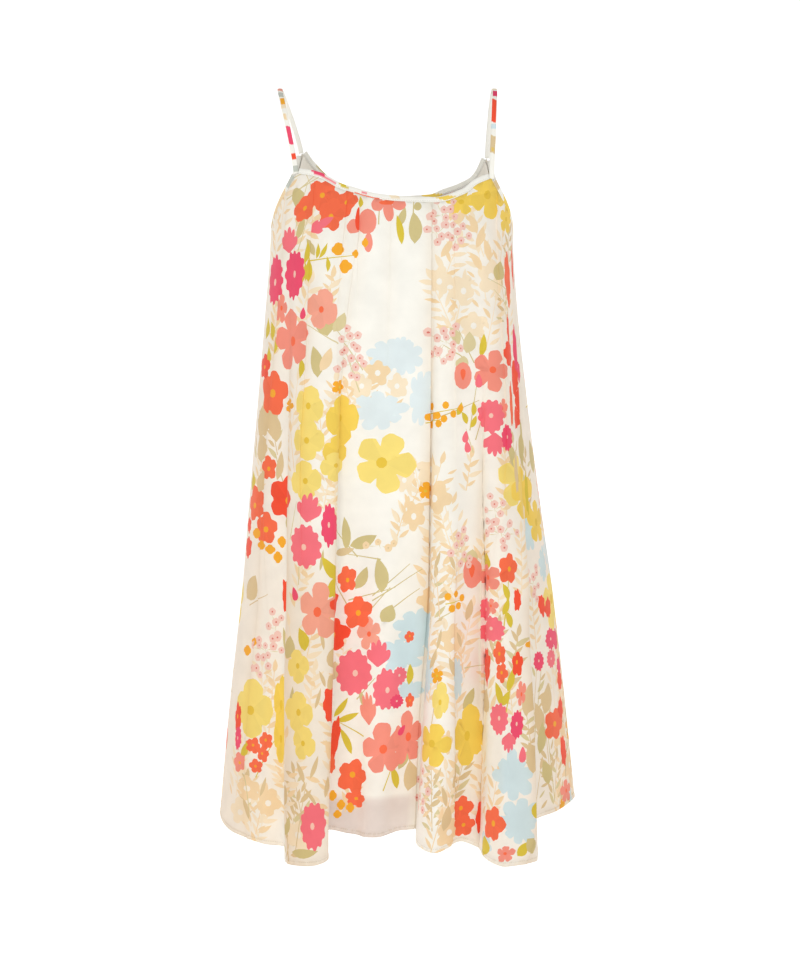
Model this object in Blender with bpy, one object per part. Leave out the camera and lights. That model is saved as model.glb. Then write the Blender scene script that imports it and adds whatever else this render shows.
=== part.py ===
"""A sleeveless A-line slip dress that hangs from two narrow shoulder straps, filled out as if worn.

The dress is a front and a back of printed cloth, a shorter lining of each, a bound neck and
armholes, and two straps. Cloth is a wall of even thickness. Every panel is a net of fold lines:
each line starts on a smooth oval under the neck and ends at its own crest or hollow in the hem.
The origin lies between the tops of the straps, +Z is up and the front faces -Y. Metres.
"""

import math

import bmesh
import bpy
import numpy as np

# Driving sizes
CLOTH = 0.0010  # thickness of every cloth wall
SEAM_GAP = 0.0003  # clear space between two sewn pieces
ROUNDNESS = 2 / 2.4  # power that squares the oval a little, as a torso is
CORNER_ANGLE = {"front": 49.5, "back": 50.5}  # where a strap meets the panel, in degrees
NECK_Z = {"front": -0.1388, "back": -0.1238}  # lowest point of the cloth at the neck
UNDERARM_Z = -0.176
HEM_Z = -0.870
ARMHOLE_CURVE = {"front": 0.8, "back": 0.58}  # below 1 the armhole falls steeply from the strap
FOLD_GROWTH = 1.4  # folds open slowly at first, then quickly near the hem
LINING_HEM_Z = -0.829

GATHERS = 18  # small gathers sewn into each neckline
GATHER_DEPTH = 0.0024
GATHER_RISE = 0.010  # they swell out over this length below the binding
GATHER_FADE = 0.050  # and fade over this one
GATHERED_ANGLE = 44.0  # no gathers beyond this angle

BINDING_WIDTH = 0.0065
BINDING_GAP = 0.0005  # between the binding and the cloth's edge
BINDING_THICKNESS = 0.0028
BINDING_PROUD = 0.0004  # how far the binding stands out from the cloth
STRAP_WIDTH = 0.0060
STRAP_THICKNESS = 0.0022
STRAP_CLEAR = 0.0004  # from the cloth's corner to the strap's end
BINDING_STOP = 0.0038  # the bindings end this far from a strap's middle
STRAP_TOP = {"left": -0.1320, "right": 0.1215}  # the straps lean to one side, as worn
STRAP_SHAPE = 0.75  # below 1 the strap stays flatter over the shoulder
STRAP_LEAN = 0.90

# The smooth oval inside the folds: height, half width, centre, depth to the front and to the back
OVALS = [
    # z, half_width, centre_x, front, back
    (-0.880, 0.2145, 0.0080, 0.1400, 0.1390),
    (-0.730, 0.2005, 0.0072, 0.1370, 0.1300),
    (-0.610, 0.1872, 0.0070, 0.1340, 0.1220),
    (-0.490, 0.1740, 0.0036, 0.1310, 0.1140),
    (-0.370, 0.1610, 0.0012, 0.1280, 0.1080),
    (-0.250, 0.1495, 0.0000, 0.1260, 0.1060),
    (-0.178, 0.1443, 0.0004, 0.1210, 0.1040),
    (-0.100, 0.1422, 0.0028, 0.1000, 0.0960),
    (-0.040, 0.1390, 0.0028, 0.0860, 0.0820),
]

# Height of the cloth's upper edge from the middle of the neck (0) to the strap (1)
NECKLINES = [
    # place, front_left, front_right, back_left, back_right
    (0.00, -0.1372, -0.1372, -0.1238, -0.1238),
    (0.20, -0.1340, -0.1383, -0.1228, -0.1230),
    (0.40, -0.1275, -0.1388, -0.1170, -0.1215),
    (0.55, -0.1222, -0.1365, -0.1105, -0.1150),
    (0.66, -0.1152, -0.1315, -0.1050, -0.1110),
    (0.75, -0.1096, -0.1265, -0.0985, -0.1070),
    (0.85, -0.1062, -0.1165, -0.0880, -0.1010),
    (0.93, -0.1045, -0.1120, -0.0780, -0.0900),
    (1.00, -0.1025, -0.1085, -0.0670, -0.0730),
]

# How far the lining lies inside that oval, once clear of the neck seam
LINING_EASE = [
    # z, side, front, back
    (-0.840, 0.0260, 0.0600, 0.0500),
    (-0.700, 0.0250, 0.0440, 0.0360),
    (-0.490, 0.0150, 0.0230, 0.0140),
    (-0.250, 0.0060, 0.0110, 0.0070),
    (-0.140, 0.0030, 0.0040, 0.0030),
    (-0.040, 0.0020, 0.0020, 0.0020),
]
LINING_SEAM = 0.0018  # the lining's distance inside the shell at the neck seam
LINING_FALL = 0.040  # it leaves the shell over this length
LINING_DROP = 0.0010  # its upper edge lies this far below the shell's

FRONT_FOLDS = [
    # name, angle on the oval in degrees, then the line's end in the hem: x, y, z
    ("side_left", -90, -0.2085, 0.0000, -0.867),
    ("flare_left", -73, -0.1905, -0.0550, -0.877),
    ("flare_front", -61, -0.1530, -0.0900, -0.884),
    ("corner_left", -49.5, -0.1255, -0.0920, -0.888),
    ("crest_a_left", -45, -0.1215, -0.1450, -0.893),
    ("crest_a", -36, -0.0986, -0.1740, -0.891),
    ("crest_a_right", -21, -0.0735, -0.1590, -0.887),
    ("tuck_a", -16, -0.0727, -0.1000, -0.866),
    ("recess_left", -10, -0.0485, -0.0980, -0.871),
    ("recess", 1, -0.0195, -0.1100, -0.873),
    ("recess_right", 11, 0.0116, -0.0930, -0.868),
    ("tuck_b", 16, 0.0278, -0.0900, -0.867),
    ("crest_b_left", 18, 0.0296, -0.1300, -0.876),
    ("crest_b", 25, 0.0510, -0.1540, -0.881),
    ("hollow", 34, 0.0790, -0.1260, -0.874),
    ("tuck_c", 41, 0.1030, -0.1140, -0.884),
    ("crest_c_left", 44, 0.1055, -0.1480, -0.885),
    ("corner_right", 49.5, 0.1160, -0.1700, -0.888),
    ("crest_c", 55, 0.1310, -0.1840, -0.889),
    ("crest_c_right", 63, 0.1665, -0.1580, -0.888),
    ("tuck_d", 67, 0.1690, -0.0900, -0.857),
    ("flare_right", 76, 0.1940, -0.0640, -0.853),
    ("side_right", 90, 0.2240, 0.0000, -0.848),
]

BACK_FOLDS = [
    # name, angle on the oval in degrees, then the line's end in the hem: x, y, z
    ("side_left", -90, -0.2085, 0.0000, -0.867),
    ("flare_left", -74, -0.1960, 0.0560, -0.870),
    ("flare_back", -63, -0.1690, 0.0980, -0.875),
    ("tuck_e", -55, -0.1440, 0.1000, -0.872),
    ("corner_left", -50.5, -0.1370, 0.1340, -0.877),
    ("crest_d", -41, -0.1160, 0.1640, -0.879),
    ("crest_d_right", -30, -0.0900, 0.1560, -0.878),
    ("tuck_f", -22, -0.0790, 0.1080, -0.870),
    ("recess_left", -12, -0.0490, 0.1040, -0.871),
    ("crest_e_left", -5, -0.0290, 0.1280, -0.875),
    ("crest_e", 2, -0.0080, 0.1540, -0.879),
    ("crest_e_right", 10, 0.0180, 0.1480, -0.878),
    ("tuck_g", 17, 0.0320, 0.1100, -0.871),
    ("recess_right", 27, 0.0640, 0.1060, -0.870),
    ("crest_f_left", 35, 0.0850, 0.1340, -0.874),
    ("crest_f", 43, 0.1060, 0.1660, -0.877),
    ("corner_right", 50.5, 0.1290, 0.1580, -0.875),
    ("tuck_h", 59, 0.1470, 0.1080, -0.866),
    ("flare_right", 73, 0.1990, 0.0740, -0.855),
    ("side_right", 90, 0.2240, 0.0000, -0.848),
]

FOLDS = {"front": FRONT_FOLDS, "back": BACK_FOLDS}
FACING = {"front": -1.0, "back": 1.0}
OUT = {"left": -1.0, "right": 1.0}

COLUMNS = {"front": 74, "back": 54}  # about how many columns each panel's net has
ROWS = {
    # heights of the net's rows, as shares of the cloth from its top edge to the hem
    "front": (0, 0.010, 0.028, 0.055, 0.095, 0.15, 0.22, 0.30, 0.39, 0.49, 0.59, 0.69, 0.79, 0.88, 0.95, 1),
    "back": (0, 0.014, 0.040, 0.085, 0.16, 0.26, 0.38, 0.50, 0.62, 0.74, 0.86, 0.94, 1),
}
LINING_COLUMNS = 32
LINING_ROWS = (0, 0.014, 0.04, 0.085, 0.16, 0.28, 0.46, 0.70, 1)


def slopes(knots, values):
    """Slopes at each knot of a smooth curve that never overshoots its values."""
    step = np.diff(knots)[:, None]
    rise = np.diff(values, axis=0) / step
    found = np.zeros_like(values)
    before, after = rise[:-1], rise[1:]
    same_way = before * after > 0
    w1, w2 = 2 * step[1:] + step[:-1], step[1:] + 2 * step[:-1]
    total = np.where(same_way, w1 / np.where(same_way, before, 1) + w2 / np.where(same_way, after, 1), 1)
    found[1:-1] = np.where(same_way, (w1 + w2) / total, 0)
    found[0], found[-1] = rise[0], rise[-1]
    return found


def smooth(knots, values, at):
    """Reads one smooth curve for each column of values. at has one place for each column."""
    knots = np.asarray(knots, float)
    values = np.asarray(values, float)
    slope = slopes(knots, values)
    low = np.clip(np.searchsorted(knots, at, side="right") - 1, 0, len(knots) - 2)
    column = np.arange(values.shape[1])
    step = knots[low + 1] - knots[low]
    t = (at - knots[low]) / step
    return (
        values[low, column] * (1 + 2 * t) * (1 - t) ** 2
        + values[low + 1, column] * t * t * (3 - 2 * t)
        + slope[low, column] * step * t * (1 - t) ** 2
        + slope[low + 1, column] * step * t * t * (t - 1)
    )


def read(table, heights):
    """Columns of a table whose first column is the height, read smoothly at each height."""
    rows = np.array(sorted(table), float)
    heights = np.clip(heights, rows[0, 0], rows[-1, 0])
    return [smooth(rows[:, 0], np.repeat(rows[:, k : k + 1], heights.size, axis=1), heights) for k in range(1, rows.shape[1])]


def oval(angle, height, side, ease=None):
    """Point on the smooth oval at an angle from the middle of the front or the back."""
    half_width, centre, front, back = read(OVALS, height)
    depth = front if side == "front" else back
    if ease is not None:
        beside, before, behind = ease
        half_width = half_width - beside
        depth = depth - (before if side == "front" else behind)
    across = np.sin(np.radians(angle))
    x = centre + half_width * np.sign(across) * np.abs(across) ** ROUNDNESS
    y = FACING[side] * depth * np.abs(np.cos(np.radians(angle))) ** ROUNDNESS
    return x, y


def knots_of(side):
    """A place from -1 to 1 for each fold line, spaced by the cloth between them at the neck and the hem."""
    angle = np.array([row[1] for row in FOLDS[side]], float)
    hem = np.array([row[2:4] for row in FOLDS[side]])
    top = np.column_stack(oval(angle, np.full(angle.size, NECK_Z[side]), side))
    shares = 0
    for line in (hem, top):
        run = np.concatenate([[0], np.cumsum(np.linalg.norm(np.diff(line, axis=0), axis=1))])
        shares = shares + run / run[-1]
    return shares - 1


def top_edge(angle, side):
    """Height of the cloth's upper edge: the neckline up to a strap's corner, then the armhole."""
    corner = CORNER_ANGLE[side]
    share = (np.sin(np.radians(np.minimum(np.abs(angle), corner))) / math.sin(math.radians(corner))) ** ROUNDNESS
    to_left, to_right = read(NECKLINES, share)[:2] if side == "front" else read(NECKLINES, share)[2:]
    neck = np.where(angle < 0, to_left, to_right)
    past = np.clip((np.abs(angle) - corner) / (90 - corner), 0, 1)
    return neck + (UNDERARM_Z - neck) * past ** ARMHOLE_CURVE[side]


def shell_point(across, down, side):
    """Points of a panel's smooth outer face. across runs from -1 to 1, down from 0 at the top edge to 1."""
    knots = knots_of(side)
    angles = np.array([row[1] for row in FOLDS[side]], float)
    ends = np.array([row[2:] for row in FOLDS[side]])
    foot = np.column_stack(oval(angles, np.full(angles.size, HEM_Z), side))
    lines = np.column_stack([angles, ends[:, 2], ends[:, :2] - foot])
    wide = np.ones((1, across.size))
    angle, hem, fold_x, fold_y = (smooth(knots, lines[:, k : k + 1] * wide, across) for k in range(4))
    top = top_edge(angle, side)
    z = top + (hem - top) * down
    opened = np.clip((NECK_Z[side] - z) / (NECK_Z[side] - HEM_Z), 0, None) ** FOLD_GROWTH
    x, y = oval(angle, z, side)
    seam = FACING[side] * SEAM_GAP * 0.7
    return np.column_stack([x + fold_x * opened, y + fold_y * opened + seam, z])


def outward(point, across, down, side):
    """Unit normals that point out of the dress, from points a little apart."""
    step = 1e-4
    right = point(across + step, down, side) - point(across - step, down, side)
    below = point(across, down + step, side) - point(across, down - step, side)
    normal = np.cross(right, below) * FACING[side]
    return normal / np.linalg.norm(normal, axis=1)[:, None]


def gathers(across, down, side):
    """How far the small gathers under the neck binding stand out."""
    angle = smooth(knots_of(side), np.array([row[1] for row in FOLDS[side]], float)[:, None] * np.ones((1, across.size)), across)
    length = (top_edge(angle, side) - HEM_Z) * down
    inside = np.clip((GATHERED_ANGLE - np.abs(angle)) / 6, 0, 1)
    swell = np.clip(length / GATHER_RISE, 0, 1) * np.exp(-np.maximum(length - GATHER_RISE, 0) / GATHER_FADE)
    wave = 0.5 + 0.5 * np.cos(2 * math.pi * GATHERS * across / 1.36)
    return GATHER_DEPTH * wave * swell * inside


def columns_of(side, count):
    """Places of a net's columns: one on every fold line, and twice as close beside the armholes."""
    knots = knots_of(side)
    angles = [row[1] for row in FOLDS[side]]
    places = [knots[0]]
    for low, high, angle, after in zip(knots[:-1], knots[1:], angles, angles[1:]):
        by_armhole = abs(angle + after) / 2 > CORNER_ANGLE[side]
        pieces = max(1, round(count * (high - low) / 2 * (2 if by_armhole else 1)))
        places += list(low + (high - low) * np.arange(1, pieces + 1) / pieces)
    return np.array(places)


def net(across, down):
    """Every pair of a column and a row, as two flat arrays."""
    grid_across, grid_down = np.meshgrid(across, down)
    return grid_across.ravel(), grid_down.ravel()


def add_object(name, points, faces, colour, roughness):
    """A smooth-shaded mesh object with its own material, turned to face outwards."""
    mesh = bpy.data.meshes.new(name)
    mesh.from_pydata([tuple(map(float, p)) for p in points], [], faces)
    shape = bmesh.new()
    shape.from_mesh(mesh)
    bmesh.ops.triangulate(shape, faces=shape.faces)
    if shape.calc_volume(signed=True) < 0:
        bmesh.ops.reverse_faces(shape, faces=shape.faces)
    shape.to_mesh(mesh)
    shape.free()
    mesh.shade_smooth()
    mesh.set_sharp_from_angle(angle=math.radians(50))
    material = bpy.data.materials.new(name)
    material.use_nodes = True
    finish = material.node_tree.nodes["Principled BSDF"]
    finish.inputs["Base Color"].default_value = (*colour, 1)
    finish.inputs["Roughness"].default_value = roughness
    finish.inputs["Metallic"].default_value = 0
    mesh.materials.append(material)
    obj = bpy.data.objects.new(name, mesh)
    bpy.context.scene.collection.objects.link(obj)
    return obj


def wall(name, outer, inner, colour, roughness):
    """A closed wall between two nets of the same rows and columns."""
    rows, columns = outer.shape[:2]
    count = rows * columns
    faces = []
    for r in range(rows - 1):
        for c in range(columns - 1):
            a, b = r * columns + c, r * columns + c + 1
            d, e = a + columns, b + columns
            faces += [(a, b, e, d), (count + a, count + d, count + e, count + b)]
    rim = [(0, c) for c in range(columns)] + [(r, columns - 1) for r in range(1, rows)]
    rim += [(rows - 1, c) for c in range(columns - 2, -1, -1)] + [(r, 0) for r in range(rows - 2, 0, -1)]
    edge = [r * columns + c for r, c in rim]
    for a, b in zip(edge, edge[1:] + edge[:1]):
        faces.append((b, a, count + a, count + b))
    points = np.concatenate([outer.reshape(-1, 3), inner.reshape(-1, 3)])
    return add_object(name, points, faces, colour, roughness)


def cut_square(normal, columns):
    """Turns the normals of the two side edges so that both walls of a side seam end flat, facing each other."""
    grid = normal.reshape(-1, columns, 3).copy()
    grid[:, [0, -1], 1] = 0
    return unit(grid).reshape(-1, 3)


def panel(side):
    """The printed front or back: fold lines, with gathers raised under the neck binding."""
    across, down = columns_of(side, COLUMNS[side]), np.array(ROWS[side])
    a, d = net(across, down)
    face, normal = shell_point(a, d, side), cut_square(outward(shell_point, a, d, side), across.size)
    face = face + normal * gathers(a, d, side)[:, None]
    shape = (down.size, across.size, 3)
    return wall(f"{side}_panel", face.reshape(shape), (face - normal * CLOTH).reshape(shape), (0.93, 0.80, 0.62), 0.75)


def lining_point(across, down, side):
    """Points of the lining's outer face: the oval without folds, easing away from the shell."""
    angle = across * 90
    top = top_edge(angle, side) - LINING_DROP
    z = top + (LINING_HEM_Z - top) * down
    leaving = 1 - np.exp(-(top - z) / LINING_FALL)
    ease = [LINING_SEAM + amount * leaving for amount in read(LINING_EASE, z)]
    x, y = oval(angle, z, side, ease)
    return np.column_stack([x, y + FACING[side] * SEAM_GAP * 0.7, z])


def lining(side):
    """The plain shorter lining of the front or the back, hung from the same seam."""
    corner = CORNER_ANGLE[side] / 90
    half = LINING_COLUMNS // 2
    inner = np.linspace(0, corner, half * 2 // 3 + 1)
    outer = np.linspace(corner, 1, half // 3 + 1)[1:]
    positive = np.concatenate([inner, outer])
    across = np.concatenate([-positive[:0:-1], positive])
    a, d = net(across, np.array(LINING_ROWS))
    face, normal = lining_point(a, d, side), cut_square(outward(lining_point, a, d, side), across.size)
    shape = (len(LINING_ROWS), across.size, 3)
    return wall(f"{side}_lining", face.reshape(shape), (face - normal * CLOTH).reshape(shape), (0.95, 0.92, 0.86), 0.6)


def strip(name, middle, wide, thick, width, thickness, colour):
    """A narrow folded strip along a line: flat faces with rounded long edges."""
    section = [(-0.5, -0.22), (-0.5, 0.22), (-0.3, 0.5), (0.3, 0.5), (0.5, 0.22), (0.5, -0.22), (0.3, -0.5), (-0.3, -0.5)]
    sides = len(section)
    points = [m + w * width * u + t * thickness * v for m, w, t in zip(middle, wide, thick) for u, v in section]
    faces = []
    for i in range(len(middle) - 1):
        for k in range(sides):
            a, b = i * sides + k, i * sides + (k + 1) % sides
            faces.append((a, b, b + sides, a + sides))
    last = (len(middle) - 1) * sides
    faces += [tuple(range(sides - 1, -1, -1)), tuple(range(last, last + sides))]
    return add_object(name, points, faces, colour, 0.75)


def unit(vectors):
    return vectors / np.linalg.norm(vectors, axis=-1, keepdims=True)


def edge_frames(across, side, hint):
    """Along the cloth's upper edge: points, directions away from the cloth, and normals."""
    zero = np.zeros(across.size)
    edge = shell_point(across, zero, side)
    normal = outward(shell_point, across, zero + 2e-4, side)
    along = unit(np.gradient(edge, axis=0))
    away = unit(np.cross(along, normal))
    away *= np.sign(away @ np.array(hint))[:, None]
    return edge, away, normal


def binding_lines(edge, away, normal):
    """The middle of a binding strip that sits on an edge."""
    lift = BINDING_GAP + BINDING_WIDTH / 2
    return edge + away * lift + normal * (BINDING_PROUD - BINDING_THICKNESS / 2)


def corner_place(side, hand):
    """The place across a panel where a strap meets it."""
    names = [row[0] for row in FOLDS[side]]
    return knots_of(side)[names.index(f"corner_{hand}")]


def neck_binding(side, count=40):
    """The strip that binds the neckline, a little short of each strap."""
    low, high = corner_place(side, "left"), corner_place(side, "right")
    fine = np.linspace(low, high, 400)
    edge = shell_point(fine, np.zeros(fine.size), side)
    run = np.concatenate([[0], np.cumsum(np.linalg.norm(np.diff(edge, axis=0), axis=1))])
    across = np.interp(np.linspace(BINDING_STOP, run[-1] - BINDING_STOP, count), run, fine)
    edge, away, normal = edge_frames(across, side, (0, 0, 1))
    strip(f"{side}_neck_binding", binding_lines(edge, away, normal), away, normal, BINDING_WIDTH, BINDING_THICKNESS, (0.95, 0.93, 0.86))


def armhole_line(side, hand, count):
    """Frames down one armhole edge from the strap's corner to the side seam."""
    names = [row[0] for row in FOLDS[side]]
    seam = knots_of(side)[names.index(f"side_{hand}")]
    across = np.linspace(corner_place(side, hand), seam, 200)
    edge, away, normal = edge_frames(across, side, (OUT[hand], 0, 0.7))
    away[-1], normal[-1] = away[-2], normal[-2]
    run = np.concatenate([[0], np.cumsum(np.linalg.norm(np.diff(edge, axis=0), axis=1))])
    at = np.linspace(BINDING_STOP, run[-1], count)
    return [np.column_stack([np.interp(at, run, v[:, k]) for k in range(3)]) for v in (edge, away, normal)]


def armhole_binding(hand, count=13):
    """The strip round an armhole, from the front corner under the arm to the back corner."""
    front = armhole_line("front", hand, count)
    back = armhole_line("back", hand, count)
    edge, away, normal = (np.concatenate([f[:-1], b[::-1]]) for f, b in zip(front, back))
    meet = count - 1
    edge[meet, 1] = 0.0
    away[meet], normal[meet] = (0, 0, 1), (OUT[hand], 0, 0)
    for k in (1, 2):
        share = k / 3
        for place in (meet - k, meet + k):
            away[place] = (1 - share) * away[meet] + share * away[place]
            normal[place] = (1 - share) * normal[meet] + share * normal[place]
    away = unit(away)
    normal = unit(normal - away * (normal * away).sum(axis=1)[:, None])
    middle = binding_lines(edge, away, normal)
    strip(f"armhole_binding_{hand}", middle, away, normal, BINDING_WIDTH, BINDING_THICKNESS, (0.95, 0.93, 0.86))


def strap(hand, count=27):
    """A narrow strap from the front corner, over the shoulder, to the back corner."""
    ends = []
    for side in ("front", "back"):
        place = np.array([corner_place(side, hand)])
        ends.append(shell_point(place, np.zeros(1), side)[0])
    front, back = ends
    front = front + np.array([0, 0.0008, STRAP_CLEAR])
    back = back + np.array([0, -0.0008, STRAP_CLEAR])
    turn = np.linspace(0, math.pi, count)
    before = turn < math.pi / 2
    share = turn / math.pi
    y = np.where(before, front[1], back[1]) * np.abs(np.cos(turn)) ** STRAP_SHAPE
    base = np.where(before, front[2], back[2])
    z = base + (STRAP_THICKNESS / 2 - base) * np.sin(turn) ** STRAP_SHAPE
    lean = np.sin(turn) ** STRAP_LEAN
    x = (front[0] * (1 - share) + back[0] * share) * (1 - lean) + STRAP_TOP[hand] * lean
    middle = np.column_stack([x, y, z])
    along = unit(np.gradient(middle, axis=0))
    wide = np.tile([1.0, 0.0, 0.0], (count, 1))
    wide = unit(wide - along * (wide * along).sum(axis=1)[:, None])
    strip(f"strap_{hand}", middle, wide, np.cross(wide, along), STRAP_WIDTH, STRAP_THICKNESS, (0.93, 0.72, 0.62))


def main():
    for obj in list(bpy.data.objects):
        bpy.data.objects.remove(obj)
    for side in ("front", "back"):
        panel(side)
        lining(side)
        neck_binding(side)
    for hand in ("left", "right"):
        armhole_binding(hand)
        strap(hand)


main()
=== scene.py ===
# %% [markdown]
# # A floral slip dress, hung from its straps
#
# This lesson builds a sleeveless A-line dress of lightly sheer printed cloth. It hangs from two
# narrow straps and is filled out as if somebody wore it, but nobody is inside. It is made of a front
# and a back, a shorter plain lining of each, a bound neck, bound armholes and two straps.
#
# The first cell loads the CAD model of the same dress, which gives every piece its place and size.

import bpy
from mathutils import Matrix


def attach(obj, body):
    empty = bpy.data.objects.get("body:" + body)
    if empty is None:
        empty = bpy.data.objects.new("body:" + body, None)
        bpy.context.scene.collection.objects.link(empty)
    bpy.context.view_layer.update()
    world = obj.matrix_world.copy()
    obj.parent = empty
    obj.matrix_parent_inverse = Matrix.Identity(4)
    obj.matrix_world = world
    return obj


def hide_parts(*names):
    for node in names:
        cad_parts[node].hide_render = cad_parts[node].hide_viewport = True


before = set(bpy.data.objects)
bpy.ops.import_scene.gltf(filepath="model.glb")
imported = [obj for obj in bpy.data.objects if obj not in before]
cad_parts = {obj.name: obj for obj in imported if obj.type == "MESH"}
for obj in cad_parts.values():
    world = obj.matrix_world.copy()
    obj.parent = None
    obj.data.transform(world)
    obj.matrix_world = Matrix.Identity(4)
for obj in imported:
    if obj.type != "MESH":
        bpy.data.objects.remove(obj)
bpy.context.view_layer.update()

# %% Other modules
import math

import bpy
import numpy as np
from mathutils import Vector
from mathutils.bvhtree import BVHTree
from mathutils.geometry import delaunay_2d_cdt

chance = np.random.default_rng(7)
print("random draws start from one fixed number, so each run makes the same dress")

# %% [markdown]
# ## The cut of the dress
#
# Cloth that hangs from the chest follows a smooth oval under the arms and opens into deep folds at
# the hem. So the shape is written as two things: the oval at several heights, and a row of fold
# lines. Each line leaves the oval at its own angle and ends at its own crest or hollow in the hem.
# A cloth simulation could drape the dress too, but its folds would fall where they like, and here
# each one has its place. The same numbers shape the CAD solids, so the cloth made here lies on them.

# %% Sizes of the cut
ROUNDNESS = 2 / 2.4
CORNER_ANGLE = {"front": 49.5, "back": 50.5}
NECK_Z = {"front": -0.1388, "back": -0.1238}
UNDERARM_Z = -0.176
HEM_Z = -0.870
ARMHOLE_CURVE = {"front": 0.8, "back": 0.58}
FOLD_GROWTH = 1.4
LINING_HEM_Z = -0.829
CLOTH = 0.0008  # thickness of the printed cloth
FACING = {"front": -1.0, "back": 1.0}
OUT = {"left": -1.0, "right": 1.0}

OVALS = [
    # z, half_width, centre_x, front, back
    (-0.880, 0.2145, 0.0080, 0.1400, 0.1390),
    (-0.730, 0.2005, 0.0072, 0.1370, 0.1300),
    (-0.610, 0.1872, 0.0070, 0.1340, 0.1220),
    (-0.490, 0.1740, 0.0036, 0.1310, 0.1140),
    (-0.370, 0.1610, 0.0012, 0.1280, 0.1080),
    (-0.250, 0.1495, 0.0000, 0.1260, 0.1060),
    (-0.178, 0.1443, 0.0004, 0.1210, 0.1040),
    (-0.100, 0.1422, 0.0028, 0.1000, 0.0960),
    (-0.040, 0.1390, 0.0028, 0.0860, 0.0820),
]

NECKLINES = [
    # place, front_left, front_right, back_left, back_right
    (0.00, -0.1372, -0.1372, -0.1238, -0.1238),
    (0.20, -0.1340, -0.1383, -0.1228, -0.1230),
    (0.40, -0.1275, -0.1388, -0.1170, -0.1215),
    (0.55, -0.1222, -0.1365, -0.1105, -0.1150),
    (0.66, -0.1152, -0.1315, -0.1050, -0.1110),
    (0.75, -0.1096, -0.1265, -0.0985, -0.1070),
    (0.85, -0.1062, -0.1165, -0.0880, -0.1010),
    (0.93, -0.1045, -0.1120, -0.0780, -0.0900),
    (1.00, -0.1025, -0.1085, -0.0670, -0.0730),
]

FOLDS = {
    "front": [
        # name, angle on the oval in degrees, then the line's end in the hem: x, y, z
        ("side_left", -90, -0.2085, 0.0000, -0.867),
        ("flare_left", -73, -0.1905, -0.0550, -0.877),
        ("flare_front", -61, -0.1530, -0.0900, -0.884),
        ("corner_left", -49.5, -0.1255, -0.0920, -0.888),
        ("crest_a_left", -45, -0.1215, -0.1450, -0.893),
        ("crest_a", -36, -0.0986, -0.1740, -0.891),
        ("crest_a_right", -21, -0.0735, -0.1590, -0.887),
        ("tuck_a", -16, -0.0727, -0.1000, -0.866),
        ("recess_left", -10, -0.0485, -0.0980, -0.871),
        ("recess", 1, -0.0195, -0.1100, -0.873),
        ("recess_right", 11, 0.0116, -0.0930, -0.868),
        ("tuck_b", 16, 0.0278, -0.0900, -0.867),
        ("crest_b_left", 18, 0.0296, -0.1300, -0.876),
        ("crest_b", 25, 0.0510, -0.1540, -0.881),
        ("hollow", 34, 0.0790, -0.1260, -0.874),
        ("tuck_c", 41, 0.1030, -0.1140, -0.884),
        ("crest_c_left", 44, 0.1055, -0.1480, -0.885),
        ("corner_right", 49.5, 0.1160, -0.1700, -0.888),
        ("crest_c", 55, 0.1310, -0.1840, -0.889),
        ("crest_c_right", 63, 0.1665, -0.1580, -0.888),
        ("tuck_d", 67, 0.1690, -0.0900, -0.857),
        ("flare_right", 76, 0.1940, -0.0640, -0.853),
        ("side_right", 90, 0.2240, 0.0000, -0.848),
    ],
    "back": [
        # name, angle on the oval in degrees, then the line's end in the hem: x, y, z
        ("side_left", -90, -0.2085, 0.0000, -0.867),
        ("flare_left", -74, -0.1960, 0.0560, -0.870),
        ("flare_back", -63, -0.1690, 0.0980, -0.875),
        ("tuck_e", -55, -0.1440, 0.1000, -0.872),
        ("corner_left", -50.5, -0.1370, 0.1340, -0.877),
        ("crest_d", -41, -0.1160, 0.1640, -0.879),
        ("crest_d_right", -30, -0.0900, 0.1560, -0.878),
        ("tuck_f", -22, -0.0790, 0.1080, -0.870),
        ("recess_left", -12, -0.0490, 0.1040, -0.871),
        ("crest_e_left", -5, -0.0290, 0.1280, -0.875),
        ("crest_e", 2, -0.0080, 0.1540, -0.879),
        ("crest_e_right", 10, 0.0180, 0.1480, -0.878),
        ("tuck_g", 17, 0.0320, 0.1100, -0.871),
        ("recess_right", 27, 0.0640, 0.1060, -0.870),
        ("crest_f_left", 35, 0.0850, 0.1340, -0.874),
        ("crest_f", 43, 0.1060, 0.1660, -0.877),
        ("corner_right", 50.5, 0.1290, 0.1580, -0.875),
        ("tuck_h", 59, 0.1470, 0.1080, -0.866),
        ("flare_right", 73, 0.1990, 0.0740, -0.855),
        ("side_right", 90, 0.2240, 0.0000, -0.848),
    ],
}
print("fold lines:", {side: len(rows) for side, rows in FOLDS.items()})

# %% [markdown]
# Tables like these are read through a smooth curve that never swings past its own values, so a
# crest stays where the table puts it.

# %% Reading a table smoothly
def slopes(knots, values):
    """Slopes at each knot of a smooth curve that never overshoots its values."""
    step = np.diff(knots)[:, None]
    rise = np.diff(values, axis=0) / step
    found = np.zeros_like(values)
    before, after = rise[:-1], rise[1:]
    same_way = before * after > 0
    w1, w2 = 2 * step[1:] + step[:-1], step[1:] + 2 * step[:-1]
    safe_before = np.where(same_way, before, 1)
    safe_after = np.where(same_way, after, 1)
    total = np.where(same_way, w1 / safe_before + w2 / safe_after, 1)
    found[1:-1] = np.where(same_way, (w1 + w2) / total, 0)
    found[0], found[-1] = rise[0], rise[-1]
    return found


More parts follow.
